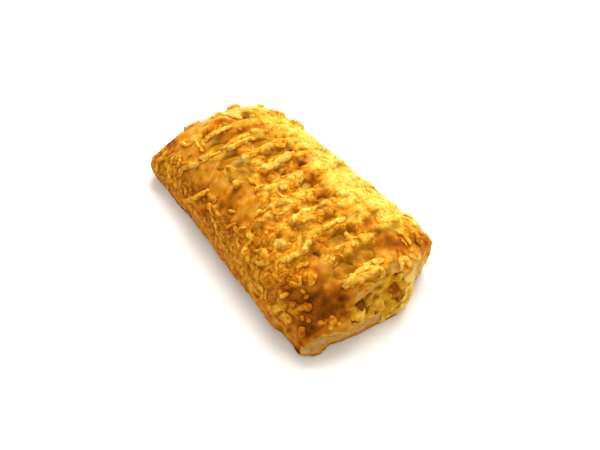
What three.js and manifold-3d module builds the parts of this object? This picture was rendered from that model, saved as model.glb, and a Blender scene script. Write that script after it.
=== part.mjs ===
// A cheese pastry: a puff pastry parcel under baked grated cheese, burst open at one short end.
// Millimetres. X runs along the parcel to the burst end, Y across it, Z up from the table.
// One crust with the baked cheese fused to it holds a cheese sauce filling that runs its whole
// length, shows through the cuts in the lid and at the burst end, and carries two browned cubes.
import * as THREE from "three";
import { mergeVertices } from "three/addons/utils/BufferGeometryUtils.js";
import Module from "manifold-3d";

const wasm = await Module();
wasm.setup();

// ---- driving sizes ----
const NEAR_END = 72; // from the middle about to the foot of the burst end, set out below
const LEFT_SIDE = 35; // half widths at the foot of the long sides
const RIGHT_SIDE = 38;
const CROWN = 36.5; // height of the lid along the middle
const LEFT_EDGE = 9; // height of the lid's edge along the left side
const RIGHT_EDGE = [12.5, 20]; // and along the right side, from the sealed end to the burst
const CRUST = 3.2; // thickness of the lid
const BASE_SHEET = 5; // thickness of the bottom sheet
const WALL = 6; // thickness of the long sides
const END_WALL = 3; // thickness of the burst end
const GAP = 0.3; // clearance kept between separate pieces
const ROW_PITCH = 11.6; // from one row of cuts in the lid to the next
const ROW_START = -1.9; // X of the row that is numbered 0
const RIDGE = 1.2; // height of the strips of dough between the rows
const CORNER_ROUND = 2; // what the two left corners lose to their rounding
const SOLE = [61, 25]; // half length and half width of the flat that the parcel stands on
const FOOT_RISE = 0.5; // from that flat up to the foot of the sides

// The burst end from the left corner to the right: v, then X of the foot and of the lid's
// edge, then the height of that edge and of the foot.
const BURST_END = [
  [-1, 67.5, 67, 9, 0.6],
  [-0.76, 69.5, 69, 8.5, 0],
  [-0.44, 72, 72.2, 8, 0],
  [-0.31, 72.4, 70, 17, 0],
  [-0.12, 72.8, 68.5, 24, 0],
  [0.16, 73.4, 68, 27, 0],
  [0.36, 73.3, 69, 28, 0.4],
  [0.49, 71.8, 70.3, 26.5, 0.8],
  [0.62, 67.5, 68, 24.5, 1],
  [0.78, 63.5, 65, 23, 1.2],
  [1, 61, 62.6, 21.5, 2.6],
];

// The sealed end in the same way, from the left corner to the right.
const SEALED_END = [
  [-1, 71.5, 73, 9, 0.8],
  [-0.5, 72.8, 73, 14, 0],
  [0.1, 74, 73.2, 17, 0],
  [0.5, 71.5, 71, 15, 0.5],
  [1, 67, 67.5, 13, 2],
];

// The cuts in the lid: row, Y, size across the parcel, size along it, and depth. Those as deep
// as OPEN reach the filling; the rest baked shut as dents.
const OPEN = 4.8;
const CUTS = [
  [-5, -9, 14, 4, 1.6],
  [-5, 9, 6, 4, 1.4],
  [-4, -12, 9, 4, 1.6],
  [-4, 12, 5, 4, 2],
  [-3, -12.5, 10, 7.5, 2.6],
  [-3, 1, 9.5, 7.5, 2.4],
  [-2.8, 13, 5, 3.5, 1.8],
  [-2, -12, 11, 6.5, OPEN],
  [-2, 4.5, 9.5, 7, OPEN],
  [-1, -11.5, 11, 6.5, OPEN],
  [-1, 5.5, 10, 6, 2.4],
  [-1, 14.5, 4.5, 4, 1.8],
  [0, 14, 8, 3.5, 2],
  [0, 2.5, 5, 4, 2],
  [1, 7.5, 5.5, 4, OPEN],
  [2, 8, 6.5, 5, OPEN],
  [2.6, -12.5, 3.5, 5, 1.6],
  [3, 3.5, 7.5, 4.5, OPEN],
  [3.3, -14, 1.6, 1.6, OPEN],
  [4, -1, 9, 6, OPEN],
  [4, 7.5, 3.5, 4, OPEN],
  [4, -13.5, 9, 8, 1.5],
  [5, 4.5, 9.5, 7.5, OPEN],
  [5, -6, 9, 7.5, OPEN],
];

// The mouth torn in the burst end: its outline as Y and Z from the left over the top.
const MOUTH = [
  [-11.4, 12.5],
  [-12, 18.5],
  [-7.5, 22.5],
  [0, 24],
  [8, 26.5],
  [14, 27.5],
  [18.8, 24],
  [18.8, 10],
  [14, 5],
  [6, 6.5],
  [0, 8.5],
  [-5, 11],
];
const MOUTH_DEPTH = 9;

const { clamp, lerp } = THREE.MathUtils;
const bump = (centre, half, t) => Math.max(0, 1 - ((t - centre) / half) ** 2);
// Eases from 0 to 1 as t goes from one value to the other, which may be the lower.
function step(from, to, t) {
  const s = clamp((t - from) / (to - from), 0, 1);
  return s * s * (3 - 2 * s);
}

// ---- seeded draws and noise ----
let seed = 20413;
function draw(low = 0, high = 1) {
  seed = (Math.imul(seed, 1664525) + 1013904223) >>> 0;
  return low + (high - low) * (seed / 2 ** 32);
}
function lattice(i, j) {
  let h = Math.imul(i, 374761393) ^ Math.imul(j, 668265263);
  h = Math.imul(h ^ (h >>> 13), 1274126177);
  return ((h ^ (h >>> 16)) >>> 0) / 2 ** 31 - 1;
}
// Smooth noise from -1 to 1 with lumps about one unit across.
function noise(x, y) {
  const i = Math.floor(x);
  const j = Math.floor(y);
  const s = step(0, 1, x - i);
  const t = step(0, 1, y - j);
  return lerp(
    lerp(lattice(i, j), lattice(i + 1, j), s),
    lerp(lattice(i, j + 1), lattice(i + 1, j + 1), s),
    t,
  );
}

// ---- the outer form ----
// u runs from -1 at the sealed end to 1 at the burst end, v from -1 on the left to 1 on the
// right, and w from 0 at the foot to 1 at the lid's edge.
function station(table, v, column) {
  const next = Math.max(1, table.findIndex(([at]) => at >= v - 1e-9));
  const [from, to] = [table[next - 1], table[next]];
  const t = clamp((v - from[0]) / (to[0] - from[0]), 0, 1);
  return lerp(from[column], to[column], lerp(t, step(0, 1, t), 0.5));
}
const endTable = (u) => (u > 0 ? BURST_END : SEALED_END);

// The foot rises a little from the flat sole, and the corners curl up off the table.
function footHeight(u, v) {
  return FOOT_RISE + station(endTable(u), v, 4) * Math.abs(u) ** 8 * Math.abs(v) ** 3;
}

function endReach(u, v, w) {
  const [foot, edge] = [station(endTable(u), v, 1), station(endTable(u), v, 2)];
  const groove = u > 0 ? 1.8 * bump(0.8, 0.3, w) * step(-0.28, -0.5, v) : 0;
  return lerp(foot, edge, w ** 1.4) - groove;
}

function halfWidth(u, v, w) {
  if (v < 0) {
    const hang = 1.8 * step(-0.5, 0, u) + 0.6 * step(0.45, 0.66, u);
    const skirt = hang * step(0.79, 0.74, u) * bump(0.75, 0.75, w);
    const farCorner = (0.9 + 2.2 * w) * step(-0.6, -1, u);
    const nearCorner = 1.6 * step(0.75, 1, u);
    return LEFT_SIDE + skirt + farCorner + nearCorner + 0.5 * noise(u * 9, 3);
  }
  const swell = 3.3 * u + 0.9 * step(0.5, 0.85, u) + 1.6 * bump(0.6, 0.8, w);
  return RIGHT_SIDE + swell + 0.5 * noise(u * 9, 8);
}

function plan(u, v, w) {
  const pull = (v < 0 ? CORNER_ROUND : 0.8) * Math.abs(u * v) ** 12;
  return {
    x: u * (endReach(u, v, w) - pull),
    y: v * (halfWidth(u, v, w) - pull),
  };
}

// Height of the lid over the outline: a pillow that falls to the edge heights all round.
function lidHeight(u, v) {
  const side = v < 0 ? LEFT_EDGE : lerp(...RIGHT_EDGE, (1 + u) / 2);
  const middle = side + (CROWN - side) * (1 - Math.abs(v) ** (v < 0 ? 3 : 3.6)) ** 0.55;
  const end = station(endTable(u), v, 3);
  const [fall, swell] = u > 0 ? [6.5, 0.7] : [4.5, 0.8];
  return end + (middle - end) * Math.max(0, 1 - Math.abs(u) ** fall) ** swell;
}

// Strips of dough between the rows of cuts, with uneven melted cheese on them.
function lidRelief(x, y, u, v) {
  const inside = step(1, 0.88, Math.abs(u)) * step(1, 0.82, v) * step(-0.95, -0.5, v);
  const row = (x - ROW_START) / ROW_PITCH + 0.06 * noise(y / 14, 5);
  const strip = -RIDGE * (0.8 + 0.5 * noise(x / 13, y / 9)) * Math.cos(2 * Math.PI * row);
  return inside * (strip + 0.6 * noise(x / 6, y / 8));
}

function lidPoint(u, v) {
  const { x, y } = plan(u, v, 1);
  return new THREE.Vector3(x, y, lidHeight(u, v) + lidRelief(x, y, u, v));
}

// The cut edge of the dough: sheets that puffed apart and stand out unevenly.
const SHEETS = [0.3, -0.6, 0.7, -0.5, 0];
function wallPoint(u, v, level) {
  const w = level / (SHEETS.length - 1);
  const { x, y } = plan(u, v, w);
  const foot = footHeight(u, v);
  const z = foot + w * (lidHeight(u, v) - foot);
  const out = level > 0 ? SHEETS[level] * (1 + 0.6 * noise(x / 4 + level * 9, y / 4)) : 0;
  const outX = Math.abs(u) === 1 ? u * out : 0;
  const outY = Math.abs(v) === 1 ? v * out * 0.6 : 0;
  return new THREE.Vector3(x + outX, y + outY, z);
}

// ---- turning forms into solids ----
function meshOf(vectors, triangles) {
  const geometry = new THREE.BufferGeometry().setFromPoints(vectors);
  geometry.setIndex(triangles);
  return geometry;
}

function toSolid(geometry) {
  const bare = geometry.clone();
  bare.deleteAttribute("normal");
  bare.deleteAttribute("uv");
  const merged = mergeVertices(bare, 1e-4);
  return new wasm.Manifold(
    new wasm.Mesh({
      numProp: 3,
      vertProperties: merged.attributes.position.array,
      triVerts: new Uint32Array(merged.index.array),
    }),
  );
}

function toGeometry(solid) {
  const { vertProperties, triVerts } = solid.getMesh();
  const geometry = new THREE.BufferGeometry();
  geometry.setAttribute("position", new THREE.BufferAttribute(vertProperties, 3));
  geometry.setIndex(new THREE.BufferAttribute(triVerts, 1));
  geometry.computeVertexNormals();
  return geometry;
}

const largest = (solid) =>
  solid.decompose().reduce((a, b) => (b.volume() > a.volume() ? b : a));

// A closed form from a grid over its lid, levels round its wall, and a flat four-cornered sole.
function closedForm(stationsU, stationsV, levels, lid, wall, footZ) {
  const points = [];
  const triangles = [];
  const add = (p) => points.push(p) - 1;
  const triangle = (a, b, c) => {
    if (a !== b && b !== c && c !== a) triangles.push(a, b, c);
  };
  const quad = (a, b, c, d) => {
    triangle(a, b, c);
    triangle(a, c, d);
  };
  const grid = stationsU.map((u) => stationsV.map((v) => add(lid(u, v))));
  for (let i = 0; i + 1 < stationsU.length; i++)
    for (let j = 0; j + 1 < stationsV.length; j++)
      if ((i + j) % 2) quad(grid[i][j], grid[i + 1][j], grid[i + 1][j + 1], grid[i][j + 1]);
      else quad(grid[i + 1][j], grid[i + 1][j + 1], grid[i][j + 1], grid[i][j]);
  const lastU = stationsU.length - 1;
  const lastV = stationsV.length - 1;
  const round = [];
  for (let i = 0; i < lastU; i++) round.push([i, 0]);
  for (let j = 0; j < lastV; j++) round.push([lastU, j]);
  for (let i = lastU; i > 0; i--) round.push([i, lastV]);
  for (let j = lastV; j > 0; j--) round.push([0, j]);
  const rings = [];
  for (let level = 0; level < levels; level++)
    rings.push(round.map(([i, j]) => add(wall(stationsU[i], stationsV[j], level))));
  rings.push(round.map(([i, j]) => grid[i][j]));
  // Each part of the ring meets the corner of the sole on its own side of the middle.
  const corner = (x, y) => add(new THREE.Vector3(x * SOLE[0], y * SOLE[1], footZ));
  const sole = { a: corner(-1, -1), b: corner(1, -1), c: corner(1, 1), d: corner(-1, 1) };
  rings.unshift(
    round.map(([i, j]) => {
      if (stationsV[j] < 0) return stationsU[i] < 0 ? sole.a : sole.b;
      return stationsU[i] < 0 ? sole.d : sole.c;
    }),
  );
  for (let r = 0; r + 1 < rings.length; r++)
    round.forEach((_, k) => {
      const n = (k + 1) % round.length;
      quad(rings[r][k], rings[r][n], rings[r + 1][n], rings[r + 1][k]);
    });
  quad(sole.d, sole.c, sole.b, sole.a);
  return meshOf(points, triangles);
}

// Stations from -1 to 1, closer together towards the ends by the share given.
function stations(count, crowding) {
  return Array.from({ length: count + 1 }, (_, k) => {
    const t = (2 * k) / count - 1;
    if (Math.abs(t) === 1) return t;
    return lerp(t, Math.sin((t * Math.PI) / 2), crowding);
  });
}

// ---- the pieces ----
function outerForm() {
  const [along, across] = [stations(44, 0.3), stations(16, 0.6)];
  return toSolid(closedForm(along, across, SHEETS.length - 1, lidPoint, wallPoint, 0));
}

// The filling's form, grown by a clearance where it is cut out of the crust.
function fillingForm(grow) {
  const floor = BASE_SHEET - grow;
  const inset = (u, v, w) => {
    const { x, y } = plan(u, v, w);
    const thin = u > 0 ? END_WALL : WALL;
    return {
      x: x - u * Math.abs(u) ** 3 * (thin - grow),
      y: y - v * Math.abs(v) ** 3 * (WALL - grow),
    };
  };
  const roof = (u, v) => {
    const cover = CRUST + 3 * Math.abs(v) ** 6 + (u > 0 ? 0 : 4 * Math.abs(u) ** 8);
    return Math.max(floor + 2.5, lidHeight(u * 0.97, v * 0.9) - cover) + grow;
  };
  const lid = (u, v) => {
    const { x, y } = inset(u, v, 0.8);
    return new THREE.Vector3(x, y, roof(u, v));
  };
  const wall = (u, v, level) => {
    const { x, y } = inset(u, v, 0.15 + 0.33 * level);
    return new THREE.Vector3(x, y, lerp(floor, roof(u, v), level / 2));
  };
  return toSolid(closedForm(stations(14, 0.4), stations(8, 0.5), 2, lid, wall, floor));
}

// Where a point of the table plane lies on the lid.
function onLid(x, y) {
  let u = x / NEAR_END;
  let v = y / (y < 0 ? LEFT_SIDE : RIGHT_SIDE);
  for (let pass = 0; pass < 6; pass++) {
    const p = plan(u, v, 1);
    u = clamp(u + (x - p.x) / NEAR_END, -1, 1);
    v = clamp(v + (y - p.y) / RIGHT_SIDE, -1, 1);
  }
  return { u, v, z: lidHeight(u, v) + lidRelief(x, y, u, v) };
}

// A cut across the lid that the oven pulled open to a lens.
function cutThrough([row, y, across, along, depth]) {
  const x = ROW_START + row * ROW_PITCH;
  const height = depth + 8;
  const lens = new THREE.CylinderGeometry(1, 0.72, height, 8, 1).rotateX(Math.PI / 2);
  const place = lens.getAttribute("position");
  for (let k = 0; k < place.count; k++) {
    const pinch = 0.75 + 0.25 * (1 - Math.abs(place.getY(k)));
    place.setX(k, (place.getX(k) * pinch * along) / 2);
    place.setY(k, (place.getY(k) * across) / 2);
  }
  lens.rotateZ(draw(-0.14, 0.14));
  return toSolid(lens.translate(x, y, onLid(x, y).z - depth + height / 2));
}

// The mouth, cut back into the end as far as the filling.
function mouthCut() {
  const ring = new THREE.SplineCurve([...MOUTH, MOUTH[0]].map(([y, z]) => new THREE.Vector2(y, z)));
  const outline = new THREE.Shape(ring.getPoints(28).slice(0, -1));
  const block = new THREE.ExtrudeGeometry(outline, { depth: 20, bevelEnabled: false });
  // The shape's own axes become Y and Z, and its depth becomes X.
  block.rotateX(Math.PI / 2).rotateZ(Math.PI / 2);
  return toSolid(block.translate(NEAR_END - MOUTH_DEPTH + 4, 0, 0));
}

// A point on the lid with the direction it faces there.
function lidFrame(x, y) {
  const at = (i, j) => new THREE.Vector3(i, j, onLid(i, j).z);
  const point = at(x, y);
  const alongX = at(x + 1.5, y).sub(at(x - 1.5, y));
  const alongY = at(x, y + 1.5).sub(at(x, y - 1.5));
  return { point, facing: alongX.cross(alongY).normalize() };
}

// A grated shred of cheese, melted down onto the lid: a flat rod whose spine follows it.
function shred(x, y, heading, length, radius, bend = 0) {
  const stretches = length > 12 ? 3 : 2;
  const rod = new THREE.CylinderGeometry(1, 1, 1, 4, stretches).rotateY(Math.PI / 4);
  rod.rotateX(Math.PI / 2);
  const { facing } = lidFrame(x, y);
  const spine = Array.from({ length: stretches + 1 }, (_, k) => {
    const t = (k / stretches - 0.5) * length;
    const turn = heading + (bend * t) / length;
    const run = new THREE.Vector3(Math.cos(turn), Math.sin(turn), 0);
    run.addScaledVector(facing, -run.dot(facing));
    return lidFrame(x + t * run.x, y + t * run.y);
  });
  const place = rod.getAttribute("position");
  for (let k = 0; k < place.count; k++) {
    const stop = Math.round((place.getZ(k) + 0.5) * stretches);
    const along = spine[Math.min(stretches, stop + 1)].point
      .clone()
      .sub(spine[Math.max(0, stop - 1)].point)
      .normalize();
    const up = spine[stop].facing.clone().addScaledVector(along, -along.dot(spine[stop].facing));
    up.normalize();
    const across = up.clone().cross(along);
    const tip = stop === 0 || stop === stretches ? 0.66 : 1;
    const thick = radius * tip * (1 + 0.25 * noise(stop * 1.7 + x, y));
    const p = spine[stop].point
      .clone()
      .addScaledVector(across, place.getX(k) * thick * 1.3)
      .addScaledVector(up, place.getY(k) * thick * 1.3 + radius * 0.35);
    place.setXYZ(k, p.x, p.y, p.z);
  }
  return rod;
}

// A lump where several shreds ran together.
function lump(x, y, size, flatness) {
  const ball = new THREE.IcosahedronGeometry(1, size > 3 ? 1 : 0);
  const { point, facing } = lidFrame(x, y);
  const place = ball.getAttribute("position");
  for (let k = 0; k < place.count; k++) {
    const p = new THREE.Vector3().fromBufferAttribute(place, k);
    p.multiplyScalar(1 + 0.28 * noise(p.x * 2 + x, p.y * 2 + y + p.z));
    place.setXYZ(k, p.x * size, p.y * size * 0.85, p.z * size * flatness);
  }
  ball.rotateZ(draw(0, Math.PI));
  ball.applyQuaternion(new THREE.Quaternion().setFromUnitVectors(new THREE.Vector3(0, 0, 1), facing));
  return ball.translate(point.x, point.y, point.z);
}

function orientedSolid(geometry) {
  const solid = toSolid(geometry);
  if (solid.volume() > 0) return solid;
  const index = mergeVertices(geometry).index;
  throw new Error(`a cheese piece is inside out, with ${index.count / 3} triangles`);
}

// Where the cheese lies: thick over the middle and along the foot of the left side, but not
// on the bare crust of the front corner, of the far left and of the strip above that foot.
function cheeseThere(x, y) {
  const bareFront = step(46, 52, x) * step(-6, -12, y);
  const bareFar = step(-48, -56, x) * step(14, 4, Math.abs(y + 8));
  const bareStrip = step(-17, -20, y) * step(14, 6, x);
  return 1 - 0.9 * bareFront - 0.7 * bareFar - 0.85 * bareStrip;
}

function bakedCheese() {
  const pieces = [
    // The shreds that stand out most, each as it lies: X, Y, heading, length, radius, bend.
    ...[
      [-39.5, -26.5, 0.65, 12, 1.1, 0.4],
      [-34.5, -18, 1.05, 10, 1.1, 0.5],
      [-23, -31.5, 0.85, 8, 1.2, 0],
      [-16.5, -29, 0, 8, 1.2, 0.4],
      [-31, -5, 1.57, 16, 1.7, 0.3],
      [-19.5, -8, 1.57, 18, 1.8, 0.2],
      [-19, 5, 1.45, 8, 1.6, 0],
      [-8, 3, 1.6, 19, 2, -0.3],
      [37.5, -3, 1.57, 20, 2, 0.3],
      [37, 12, 1.5, 11, 1.8, 0],
      [48.5, -4, 1.4, 12, 1.8, 0.4],
      [63.5, -2, 1.35, 17, 1.7, 0.3],
      [64.5, 12, 1.8, 9, 1.5, 0],
      [22.5, -3, 1.57, 11, 1.5, 1.8],
      [61.5, -29, 1.3, 7, 1.2, 0],
    ].map((each) => shred(...each)),
    // Clusters, as X, Y, size and flatness.
    ...[
      [-39, -33, 2.2, 0.6],
      [-33, -33.5, 2.4, 0.6],
      [-9, -27, 3, 0.5],
      [-4, -30, 2.6, 0.6],
      [4.5, 7, 3.4, 0.4],
      [5, -2, 3.2, 0.4],
      [11, -11, 2.6, 0.45],
      [26.5, -3, 4.4, 0.4],
      [29, -18, 4, 0.45],
      [52, -21, 3.4, 0.55],
      [57, -24.5, 2.8, 0.6],
      [49, -26, 3, 0.55],
      [68, -20, 2.8, 0.5],
      [64.5, -25, 2.4, 0.55],
      [56, 15, 3, 0.4],
      [47, -31, 3.4, 0.6],
      [38, -32, 3.2, 0.6],
    ].map((each) => lump(...each)),
  ];
  // The rest is strewn evenly, a few on each strip of dough, and left out where it is bare.
  for (let row = -6; row <= 5; row++)
    for (let place = -1; place <= 2; place++) {
      const x = ROW_START + (row + 0.5) * ROW_PITCH + draw(-3.6, 3.6);
      const y = 3 + place * 13 + draw(-4, 4);
      const heading = draw(0.6, 2.5);
      const length = draw(7, 11.5);
      const radius = draw(1.3, 1.9);
      const bend = draw(-0.9, 0.9);
      const kept = draw() < cheeseThere(x, y);
      const inside = Math.abs(x) < 66 && y < 31;
      if (kept && inside) pieces.push(shred(x, y, heading, length, radius, bend));
    }
  // Crumbs of cheese along the foot of the left side.
  for (let k = 0; k < 20; k++) {
    const x = lerp(-22, 47, (k + 0.5) / 20) + draw(-1.5, 1.5);
    const y = draw(-33.5, x > 8 ? -19 : -28);
    pieces.push(lump(x, y, draw(1.8, 2.9), draw(0.6, 0.85)));
  }
  return wasm.Manifold.union(pieces.map(orientedSolid));
}

// A cube of the filling's browned pieces, with softened corners.
function browned(size, x, y, z, turn) {
  const cube = new THREE.BoxGeometry(size, size * 0.86, size * 1.05, 3, 3, 3);
  const place = cube.getAttribute("position");
  for (let k = 0; k < place.count; k++) {
    const p = new THREE.Vector3().fromBufferAttribute(place, k);
    const round = p.clone().normalize().multiplyScalar(size * 0.62);
    p.lerp(round, 0.45).multiplyScalar(1 + 0.06 * noise(p.x + 9, p.y * 2 + p.z));
    place.setXYZ(k, p.x, p.y, p.z);
  }
  cube.rotateX(turn[0]).rotateY(turn[1]).rotateZ(turn[2]);
  return { plain: cube.clone().translate(x, y, z), grown: grownCopy(cube).translate(x, y, z) };
}

function grownCopy(geometry) {
  geometry.computeBoundingSphere();
  const scale = 1 + GAP / (geometry.boundingSphere.radius * 0.7);
  return geometry.clone().scale(scale, scale, scale);
}

const cubes = {
  browned_cube_right: browned(8.5, 66.5, 14.5, 14.5, [0.5, 0.75, 0.3]),
  browned_cube_left: browned(8, 66, -6.8, 17, [0.2, 0.3, -0.4]),
};

const hollow = fillingForm(GAP);
const crust = largest(
  outerForm().add(bakedCheese()).subtract(hollow).subtract(wasm.Manifold.union(CUTS.map(cutThrough))).subtract(mouthCut()),
);
let filling = fillingForm(0);
let cleared = crust;
for (const { grown } of Object.values(cubes)) {
  filling = filling.subtract(toSolid(grown));
  cleared = cleared.subtract(toSolid(grown));
}

function piece(name, geometry, colour, roughness) {
  const material = new THREE.MeshStandardMaterial({ color: colour, roughness, metalness: 0 });
  const mesh = new THREE.Mesh(geometry, material);
  mesh.name = name;
  return mesh;
}

const pastry = new THREE.Group();
pastry.add(piece("cheese_crust", toGeometry(largest(cleared)), 0xe0a038, 0.6));
pastry.add(piece("filling", toGeometry(largest(filling)), 0xd6b23c, 0.35));
for (const [name, { plain }] of Object.entries(cubes))
  pastry.add(piece(name, toGeometry(toSolid(plain)), 0xa4561c, 0.5));

// The origin is the middle of the foot of the whole.
const reach = new THREE.Box3().setFromObject(pastry);
const middle = reach.getCenter(new THREE.Vector3());
pastry.position.set(-middle.x, -middle.y, -reach.min.z);

export default pastry;
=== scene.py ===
# %% [markdown]
# # Dressing a cheese pastry
# The solid model gives the parcel its form: a crust of puff pastry with cheese baked onto it, the
# filling inside it and two browned cubes. This lesson turns copies of those solids into food. It
# softens them as dough, lays several hundred melted shreds and crumbs of cheese over them, and
# colours everything as an oven would. The solids themselves stay as they are.

# %% Load the solid model
import itertools
import math

import bmesh
import bpy
import numpy as np
from mathutils import Matrix, Vector
from mathutils.bvhtree import BVHTree


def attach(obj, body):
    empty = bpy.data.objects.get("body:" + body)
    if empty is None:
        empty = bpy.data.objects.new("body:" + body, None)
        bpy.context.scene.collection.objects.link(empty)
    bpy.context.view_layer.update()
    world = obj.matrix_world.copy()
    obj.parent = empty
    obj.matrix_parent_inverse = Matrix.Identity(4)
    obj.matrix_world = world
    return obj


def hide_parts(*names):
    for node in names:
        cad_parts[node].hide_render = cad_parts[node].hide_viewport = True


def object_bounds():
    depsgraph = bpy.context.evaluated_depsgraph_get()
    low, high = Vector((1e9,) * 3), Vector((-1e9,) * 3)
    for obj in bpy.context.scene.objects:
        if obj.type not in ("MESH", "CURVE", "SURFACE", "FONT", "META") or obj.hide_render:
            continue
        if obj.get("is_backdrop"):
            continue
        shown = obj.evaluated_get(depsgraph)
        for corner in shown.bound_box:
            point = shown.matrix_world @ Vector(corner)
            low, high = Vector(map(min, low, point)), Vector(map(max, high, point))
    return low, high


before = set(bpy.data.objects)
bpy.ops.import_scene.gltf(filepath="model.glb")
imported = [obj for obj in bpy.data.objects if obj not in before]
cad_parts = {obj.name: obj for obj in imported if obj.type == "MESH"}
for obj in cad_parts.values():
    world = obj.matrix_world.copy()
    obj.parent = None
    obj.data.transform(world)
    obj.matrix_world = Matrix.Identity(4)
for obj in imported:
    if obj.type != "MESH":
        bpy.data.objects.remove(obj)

MM = 0.001  # the scene is in metres, and the sizes below are easier to read in millimetres
scene = bpy.context.scene
solid_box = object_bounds()
size = (solid_box[1] - solid_box[0]) / MM
print(f"solid model: {size.x:.1f} x {size.y:.1f} x {size.z:.1f} mm, nodes {sorted(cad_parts)}")

# %% [markdown]
# ## The camera
# The pastry was photographed on a white table, from about fifty degrees above it, with one long
# side and the burst short end towards the lens. A 42 mm lens on a 36 mm wide sensor, a third of a
# metre away, gives the same mild perspective. A constraint could keep the camera on its target, but
# nothing moves here, so it is aimed once with a quaternion, and the light is aimed likewise.

# %% Camera
LENS, SENSOR_WIDTH = 42.0, 36.0  # mm
CAMERA_AT = Vector((189.2, -126.3, 272.2)) * MM
CAMERA_AIM = Vector((14.2, -1.6, 15.0)) * MM


def stand(thing, place, target):
    """Adds a camera or a light to the scene, at a place and pointed at a target."""
    scene.collection.objects.link(thing)
    thing.location = place
    thing.rotation_mode = "QUATERNION"
    thing.rotation_quaternion = (target - place).to_track_quat("-Z", "Y")


camera = bpy.data.objects.new("camera", bpy.data.cameras.new("camera"))
stand(camera, CAMERA_AT, CAMERA_AIM)
camera.data.lens = LENS
camera.data.sensor_width = SENSOR_WIDTH
camera.data.clip_start = 0.01
scene.camera = camera
print(f"camera {(CAMERA_AIM - CAMERA_AT).length / MM:.0f} mm from its target")

# %% [markdown]
# ## Small tools for materials
# Colours are easiest to pick as hex values, which are sRGB, while shaders work in linear light, so
# one function converts them. A second one adds a node, sets what it is given and links any input
# that is handed another node or one of its sockets. It serves for every kind of node. A third one
# starts a material and sets what is the same all over it on the shader itself.

# %% Colour, node and material helpers
def linear(hex_value):
    """An sRGB hex colour such as "E2A23A" as linear RGBA."""
    parts = [int(hex_value[k : k + 2], 16) / 255 for k in (0, 2, 4)]
    return [c / 12.92 if c <= 0.04045 else ((c + 0.055) / 1.055) ** 2.4 for c in parts] + [1.0]


def add_node(tree, kind, inputs=(), stops=(), **settings):
    """Adds a node, with its inputs set or linked; stops fill a colour ramp from low to high.

    An input that is a whole node is linked to that node's first output.
    """
    made = tree.nodes.new(kind)
    for name, value in settings.items():
        setattr(made, name, value)
    for name, value in dict(inputs).items():
        if isinstance(value, bpy.types.Node):
            value = value.outputs[0]
        if isinstance(value, bpy.types.NodeSocket):
            tree.links.new(value, made.inputs[name])
        else:
            made.inputs[name].default_value = value
    for k, (place, colour) in enumerate(stops):
        ramp = made.color_ramp.elements
        stop = ramp[k] if k < 2 else ramp.new(place)
        stop.position, stop.color = place, linear(colour)
    return made


def new_material(name, inputs):
    """A material with its shader's inputs set, its node tree and its shader."""
    made = bpy.data.materials.new(name)
    made.use_nodes = True
    shader = made.node_tree.nodes["Principled BSDF"]
    for socket, value in inputs.items():
        shader.inputs[socket].default_value = value
    return made, made.node_tree, shader


print("an egg-washed crust colour in linear light:", [round(c, 3) for c in linear("C9751B")[:3]])

# %% [markdown]
# ## Table and light
# The table is matt white paper, so bright that it blends into the background. The light is a large
# soft box above and behind the far right corner, which lights the right shoulder of the pastry most
# and leaves a soft shadow along the left side and the burst end. White surroundings fill the
# shadows, and a very faint glow of the paper keeps it white where the pastry shades it.

# %% Table and light
TABLE_REACH = 2.0  # metres from its middle to each edge
LIGHT_AT = Vector((-240, 360, 740)) * MM
LIGHT_AIM = Vector((0, 0, 15)) * MM
LIGHT_ACROSS = 560  # mm
LIGHT_WATTS = 11.2
ROOM_LIGHT = 0.98

table_mesh = bpy.data.meshes.new("table")
bm = bmesh.new()
bmesh.ops.create_grid(bm, x_segments=1, y_segments=1, size=TABLE_REACH)
bm.to_mesh(table_mesh)
bm.free()
table = bpy.data.objects.new("table", table_mesh)
scene.collection.objects.link(table)
table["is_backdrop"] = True

paper, _, _ = new_material(
    "white_paper",
    {
        "Base Color": linear("DFDCD7"),
        "Roughness": 0.85,
        "Emission Color": linear("FFFCF6"),
        "Emission Strength": 0.05,
    },
)
table.data.materials.append(paper)

room = bpy.data.worlds.new("white_room")
room.use_nodes = True
room.node_tree.nodes["Background"].inputs["Color"].default_value = linear("FFFDFA")
room.node_tree.nodes["Background"].inputs["Strength"].default_value = ROOM_LIGHT
scene.world = room
scene.view_settings.view_transform = "Standard"  # keeps the hex colours as they were picked

lamp = bpy.data.lights.new("window_light", "AREA")
lamp.shape, lamp.size, lamp.energy = "SQUARE", LIGHT_ACROSS * MM, LIGHT_WATTS
stand(bpy.data.objects.new("window_light", lamp), LIGHT_AT, LIGHT_AIM)

# %% [markdown]
# ## Numbers for dough and cheese
# Food looks alive when nothing repeats. Blender has noise textures for that, but here the same
# noise also moves the mesh and decides where cheese lies, so it is worked out with numpy for all
# points at once. `soft_noise` gives rolling heights, and `grains` gives rounded grains like those of
# baked cheese: each point measures how far it is from the nearest of many scattered centres. Both
# take the points, a size in millimetres and a seed, which only has to differ from call to call.

# %% Noise
def shuffled(cells, seed):
    """A fixed random number from 0 to 1 for each row of whole numbers."""
    mixed = cells[:, 0] * 73856093 ^ cells[:, 1] * 19349663 ^ cells[:, 2] * 83492791
    mixed = mixed ^ seed * 2654435761
    mixed = (mixed ^ (mixed >> 13)) * 1274126177 & 0xFFFFFFFF
    return ((mixed ^ (mixed >> 16)) & 0xFFFFFFFF) / 0xFFFFFFFF


def soft_noise(points, across, seed):
    """Smooth noise from -1 to 1 with lumps about as many millimetres across."""
    place = points / across
    cell = np.floor(place).astype(np.int64)
    t = place - cell
    t = t * t * (3 - 2 * t)
    total = np.zeros(len(points))
    for corner in itertools.product((0, 1), repeat=3):
        weight = np.prod(np.where(corner, t, 1 - t), axis=1)
        total += weight * shuffled(cell + np.array(corner), seed)
    return total * 2 - 1


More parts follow.
